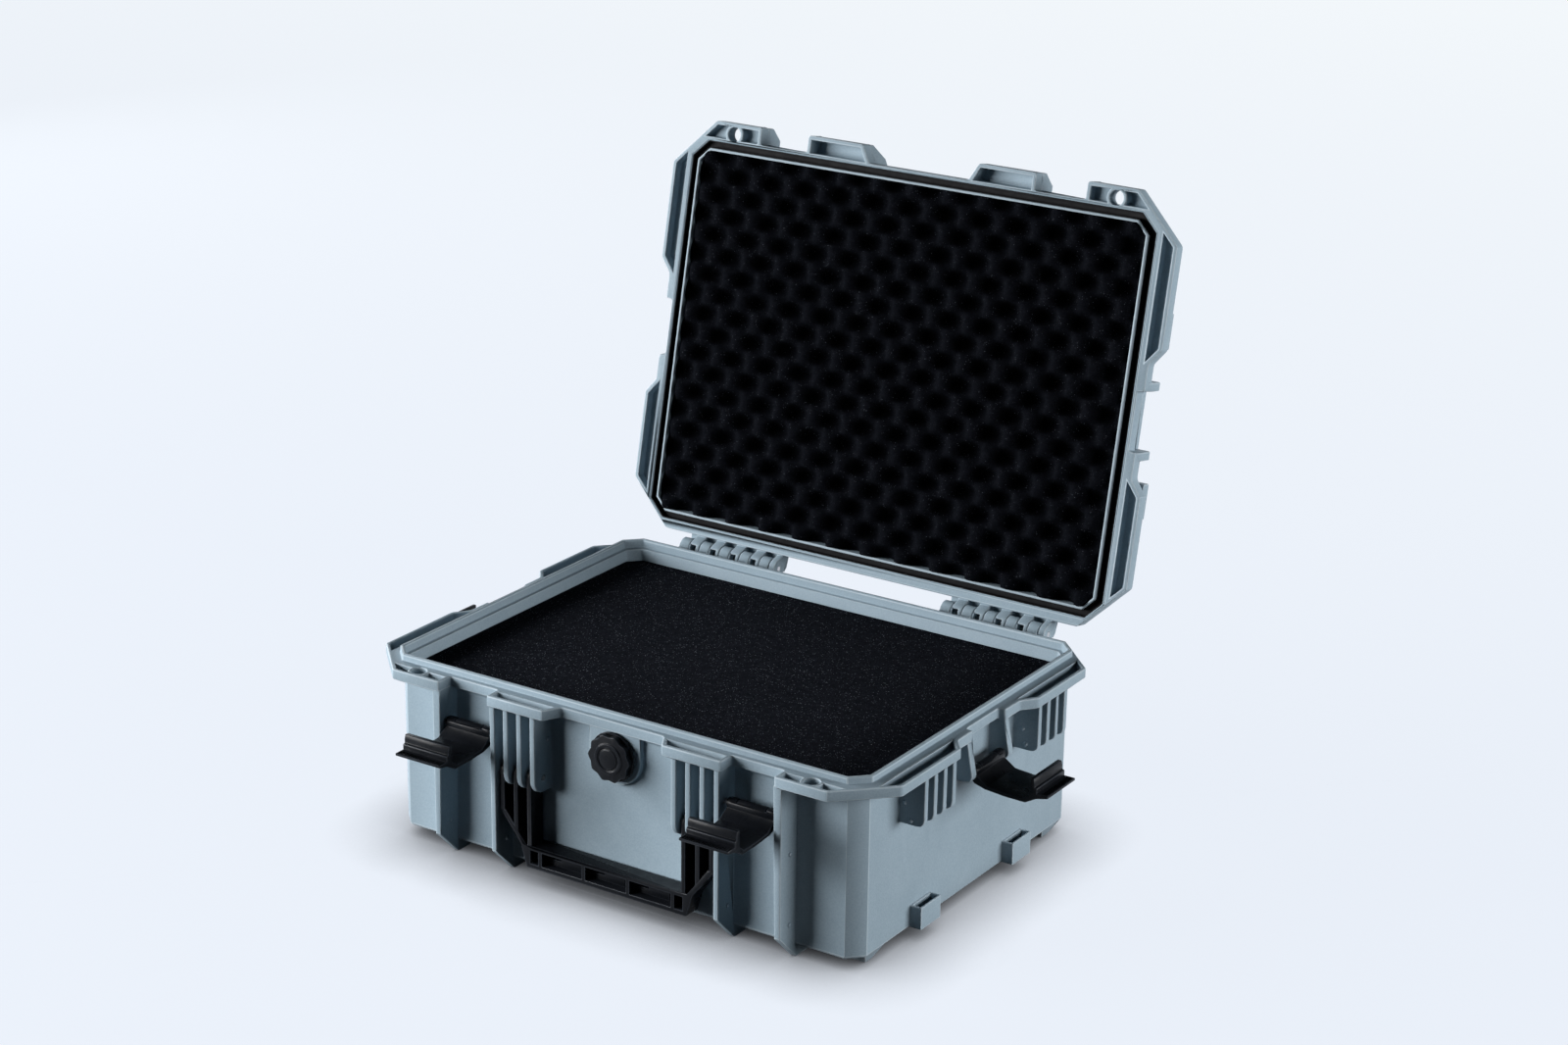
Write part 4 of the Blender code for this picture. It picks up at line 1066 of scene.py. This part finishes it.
@dataclass
class EggCrateFoam:
    """Convoluted foam in the lid.

    Attributes:
        plan: Outline of the pad.
        back: Height of its flat back in the closed lid.
        middle: Mean height of the waves in the closed lid.
        swell: Half of the waves' height.
        step: Distance between a peak and the next hollow.
        fullness: Power of the waves: below one, their peaks and hollows are rounder.
        across: Cells of the mesh along X.
        along: Cells of the mesh along Y.
        smooth_angle: Edges sharper than this many degrees stay crisp in the shading.
    """

    plan: FoamPlan
    back: float = 180.7 * MM
    middle: float = 151.4 * MM
    swell: float = 8.0 * MM
    step: float = 16.5 * MM
    fullness: float = 0.8
    across: int = 200
    along: int = 146
    smooth_angle: float = 50.0

    def height(self, x: float, y: float) -> float:
        """Height of the wavy face at a point of the plan."""
        wave = math.cos(math.pi * x / self.step) * math.cos(math.pi * y / self.step)
        return self.middle + self.swell * math.copysign(abs(wave) ** self.fullness, wave)

    def build(self, hinge: Hinge, finish: bpy.types.Material) -> bpy.types.Object:
        """Make the pad.

        Args:
            hinge: The line that the lid swings about.
            finish: Material of the foam.

        Returns:
            The finished piece.
        """
        piece = add_shape(
            bpy.ops.mesh.primitive_grid_add,
            x_subdivisions=self.across, y_subdivisions=self.along, size=2.0,
        )
        piece.name = "lid_foam_convoluted"
        piece.scale = (self.plan.half_x, self.plan.half_y, 1.0)
        settle(piece)
        self.plan.trim(piece)
        for vert in piece.data.vertices:
            vert.co.z = self.height(vert.co.x, vert.co.y)
        clear = 1.0
        with editing(piece):
            out = (0.0, 0.0, clear)
            bpy.ops.mesh.extrude_region_move(TRANSFORM_OT_translate={"value": out})
        for vert in piece.data.vertices:
            if vert.co.z > clear / 2:
                vert.co.z = self.back
        with editing(piece):
            bpy.ops.mesh.normals_make_consistent(inside=False)
        smooth(piece, self.smooth_angle)
        hinge.swing(piece)
        dress(piece, finish, "lid")
        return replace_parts(piece, "lid_foam")


@dataclass
class BaseFoamLayer:
    """One flat layer of foam in the base.

    Attributes:
        node: The CAD node that it stands for.
        radius: Rounding of its cut edges.
        segments: Faces across a rounded edge.
    """

    node: str
    radius: float = 1.6 * MM
    segments: int = 3

    def build(self, nodes: Nodes, finish: bpy.types.Material) -> bpy.types.Object:
        """Make the layer.

        Args:
            nodes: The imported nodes.
            finish: Material of the foam.

        Returns:
            The finished piece.
        """
        piece = copy_node(nodes, self.node, f"{self.node}_cut")
        round_edges(piece, self.radius, self.segments)
        dress(piece, finish, "base")
        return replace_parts(piece, self.node)


class Softbox(Enum):
    """The soft lights: where each stands, its width and height, and its watts."""

    LEFT = ((-1.988, -1.553, 0.749), (2.0, 1.1), 152.0)
    RIGHT = ((2.485, 0.619, 0.572), (1.8, 1.1), 78.0)
    BACK = ((-2.27, 1.06, 0.84), (1.1, 1.1), 24.0)

    def build(self, aim: Point) -> None:
        """Add the light, facing a point."""
        place, size, power = self.value
        turn = (Vector(aim) - Vector(place)).to_track_quat("-Z", "Y").to_euler()
        bpy.ops.object.light_add(type="AREA", location=place, rotation=turn)
        lamp = bpy.context.object
        lamp.name = f"softbox_{self.name.lower()}"
        lamp.data.shape = "RECTANGLE"
        lamp.data.size, lamp.data.size_y = size
        lamp.data.energy = power
        lamp.visible_camera = False


@dataclass
class Studio:
    """Pale floor, soft lights and the photograph's camera.

    Attributes:
        camera_place: Where the camera stands.
        camera_turn: Its rotation in degrees.
        lens: Focal length in millimetres.
        sensor: Width of the camera's sensor in millimetres.
        floor_size: Length of each side of the floor.
        floor_drop: How far the floor lies below the object's feet.
        pale: Colour of the floor round the object and of what lies beyond it.
        far_pale: Colour of the floor's far end.
        far_start: Place along Y where the floor begins to take that colour.
        far_end: Place along Y where it has all of it.
        bounce: Colour of the floor for the light that it throws back on the object.
        catch: Share of the floor's brightness that comes from the lamps.
        painted_shadow_reach: How far the painted soft shadow round the object reaches.
        painted_shadow_power: Power that deepens that painted shadow.
        painted_shadow_samples: Rays that find that painted shadow at each point.
        ambient: Strength of the even light on the object.
        overhead: Strength of the sky overhead in mirrors, which is one at the horizon.
        overhead_start: Height in the sky, from zero to one, where it begins to fall.
        overhead_end: Height in the sky where it has fallen to that strength.
        aim: The point that the lamps face.
    """

    camera_place: Point = (1.3444, -1.9879, 1.1179)
    camera_turn: Point = (70.2471, -0.6944, 33.4817)
    lens: float = 77.11
    sensor: float = 36.0
    floor_size: float = 40.0
    floor_drop: float = 0.2 * MM
    pale: Colour = (0.830, 0.880, 0.960)
    far_pale: Colour = (0.925, 0.965, 1.0)
    far_start: float = 0.3
    far_end: float = 3.5
    bounce: Colour = (0.03, 0.032, 0.035)
    catch: float = 0.04
    painted_shadow_reach: float = 0.07
    painted_shadow_power: float = 1.15
    painted_shadow_samples: int = 16
    ambient: float = 0.01
    overhead: float = 0.03
    overhead_start: float = 0.02
    overhead_end: float = 0.25
    aim: Point = (0.0, 0.0, 0.12)

    def add_camera(self) -> None:
        """Add the camera and make it the scene's."""
        turn = [math.radians(angle) for angle in self.camera_turn]
        bpy.ops.object.camera_add(location=self.camera_place, rotation=turn)
        camera = bpy.context.object
        camera.name = "photo_camera"
        camera.data.lens = self.lens
        camera.data.sensor_width = self.sensor
        bpy.context.scene.camera = camera

    def add_floor(self) -> None:
        """Add the floor, which looks pale to the camera, keeps a weak share of the lamps' shadows
        and carries a painted soft shadow round the object.
        """
        place = (0.0, 0.0, -self.floor_drop)
        floor = add_shape(bpy.ops.mesh.primitive_plane_add, size=self.floor_size, location=place)
        floor.name = "studio_floor"
        settle(floor)
        graph = MaterialGraph("studio_floor")
        graph.tree.nodes.remove(graph.shader)
        plain = graph.add("ShaderNodeBsdfDiffuse")
        plain.inputs["Color"].default_value = (*self.bounce, 1.0)
        # Painted shadow: the floor's glow darkens by ambient occlusion where the object lies close.
        corner = graph.add("ShaderNodeAmbientOcclusion", samples=self.painted_shadow_samples)
        corner.inputs["Distance"].default_value = self.painted_shadow_reach
        shade = graph.math("POWER", corner.outputs["AO"], self.painted_shadow_power)
        split = graph.add("ShaderNodeSeparateXYZ")
        graph.link(graph.coordinates, split.inputs[0])
        far = graph.spread(split.outputs["Y"], 0.0, 1.0, self.far_start, self.far_end)
        glow = graph.add("ShaderNodeEmission")
        graph.link(graph.blend(far, self.pale, self.far_pale), glow.inputs["Color"])
        graph.link(graph.math("MULTIPLY", shade, 1.0 - self.catch), glow.inputs["Strength"])
        catch = graph.add("ShaderNodeBsdfDiffuse")
        catch.inputs["Color"].default_value = (*[self.catch * value for value in self.pale], 1.0)
        both = graph.add("ShaderNodeAddShader")
        graph.link(glow.outputs[0], both.inputs[0])
        graph.link(catch.outputs[0], both.inputs[1])
        rays = graph.add("ShaderNodeLightPath").outputs
        seen = graph.math("MAXIMUM", rays["Is Camera Ray"], rays["Is Glossy Ray"])
        seen = graph.math("MAXIMUM", seen, rays["Is Transmission Ray"])
        mix = graph.add("ShaderNodeMixShader")
        graph.link(seen, mix.inputs[0])
        graph.link(plain.outputs[0], mix.inputs[1])
        graph.link(both.outputs[0], mix.inputs[2])
        graph.link(mix.outputs[0], graph.output.inputs["Surface"])
        floor.data.materials.append(graph.material)

    def set_world(self) -> None:
        """Pale surroundings for the camera, darker overhead in mirrors, and a weak even light."""
        world = bpy.data.worlds.new("studio_world")
        bpy.context.scene.world = world
        world.use_nodes = True
        graph = NodeGraph(world.node_tree)
        back = graph.tree.nodes["Background"]
        back.inputs["Color"].default_value = (*self.pale, 1.0)
        split = graph.add("ShaderNodeSeparateXYZ")
        graph.link(graph.add("ShaderNodeTexCoord").outputs["Generated"], split.inputs[0])
        sky = graph.spread(
            split.outputs["Z"], 1.0, self.overhead, self.overhead_start, self.overhead_end
        )
        rays = graph.add("ShaderNodeLightPath").outputs
        mirror = graph.math("MULTIPLY", rays["Is Glossy Ray"], sky)
        level = graph.math("MAXIMUM", rays["Is Camera Ray"], rays["Is Transmission Ray"])
        level = graph.math("MAXIMUM", level, mirror)
        graph.link(graph.math("MAXIMUM", level, self.ambient), back.inputs["Strength"])

    def build(self) -> None:
        """Make the whole studio."""
        self.add_camera()
        self.add_floor()
        self.set_world()
        for softbox in Softbox:
            softbox.build(self.aim)
        bpy.context.scene.view_settings.view_transform = "Standard"


def main() -> None:
    """Load the frame, build the studio and every piece, and log each piece's faces."""
    logging.basicConfig(level=logging.INFO, format="%(message)s")
    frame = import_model()
    nodes = frame["nodes"]
    Studio().build()
    finishes = Finishes()
    hinge = Hinge()

    MouldedShell("base_shell", "base").build(nodes, finishes.shell)
    MouldedShell("lid_shell", "lid", KnuckleNotches(hinge)).build(nodes, finishes.shell)
    EjectorMarks().build(bpy.data.objects["base_shell_rounded"], finishes.polished)
    EggCrateFoam(FoamPlan()).build(hinge, finishes.lid_foam)
    for node in ("base_foam_upper", "base_foam_lower", "base_foam_floor_pad"):
        BaseFoamLayer(node).build(nodes, finishes.foam)
    Fitting("lid_gasket", "lid", "black_rubber", 0.8 * MM).build(nodes, finishes.rubber)
    # Black sheets on both walls of the seal's channel: partly the black seal, partly painted shade
    # in the channel.
    SealAndShadeFlap("lid_gasket_outer_flap_and_shade", 4.2 * MM).build(hinge, finishes.rubber)
    SealAndShadeFlap("lid_gasket_inner_flap_and_shade", -1.0 * MM).build(hinge, finishes.rubber)
    Fitting("carry_handle", "handle", "black_plastic", 0.7 * MM).build(nodes, finishes.fitting)
    GripPad().build(finishes.fitting)
    for place in LatchPlace:
        Latch(place).build(nodes, finishes.fitting)
    Fitting("valve_knob", "knob", "black_plastic", 0.6 * MM).build(nodes, finishes.fitting)
    Fitting("valve_body", "base", "black_plastic", 0.3 * MM).build(nodes, finishes.fitting)
    Fitting("valve_nut", "base", "black_plastic", 0.4 * MM).build(nodes, finishes.fitting)
    Fitting("valve_seal", "base", "black_rubber", 0.2 * MM).build(nodes, finishes.rubber)
    for name, node in nodes.items():
        if "pin" in name:
            node.data.materials.clear()
            node.data.materials.append(finishes.steel)
            LOG.info("%s gets drawn steel", name)


if __name__ == "__main__":
    main()
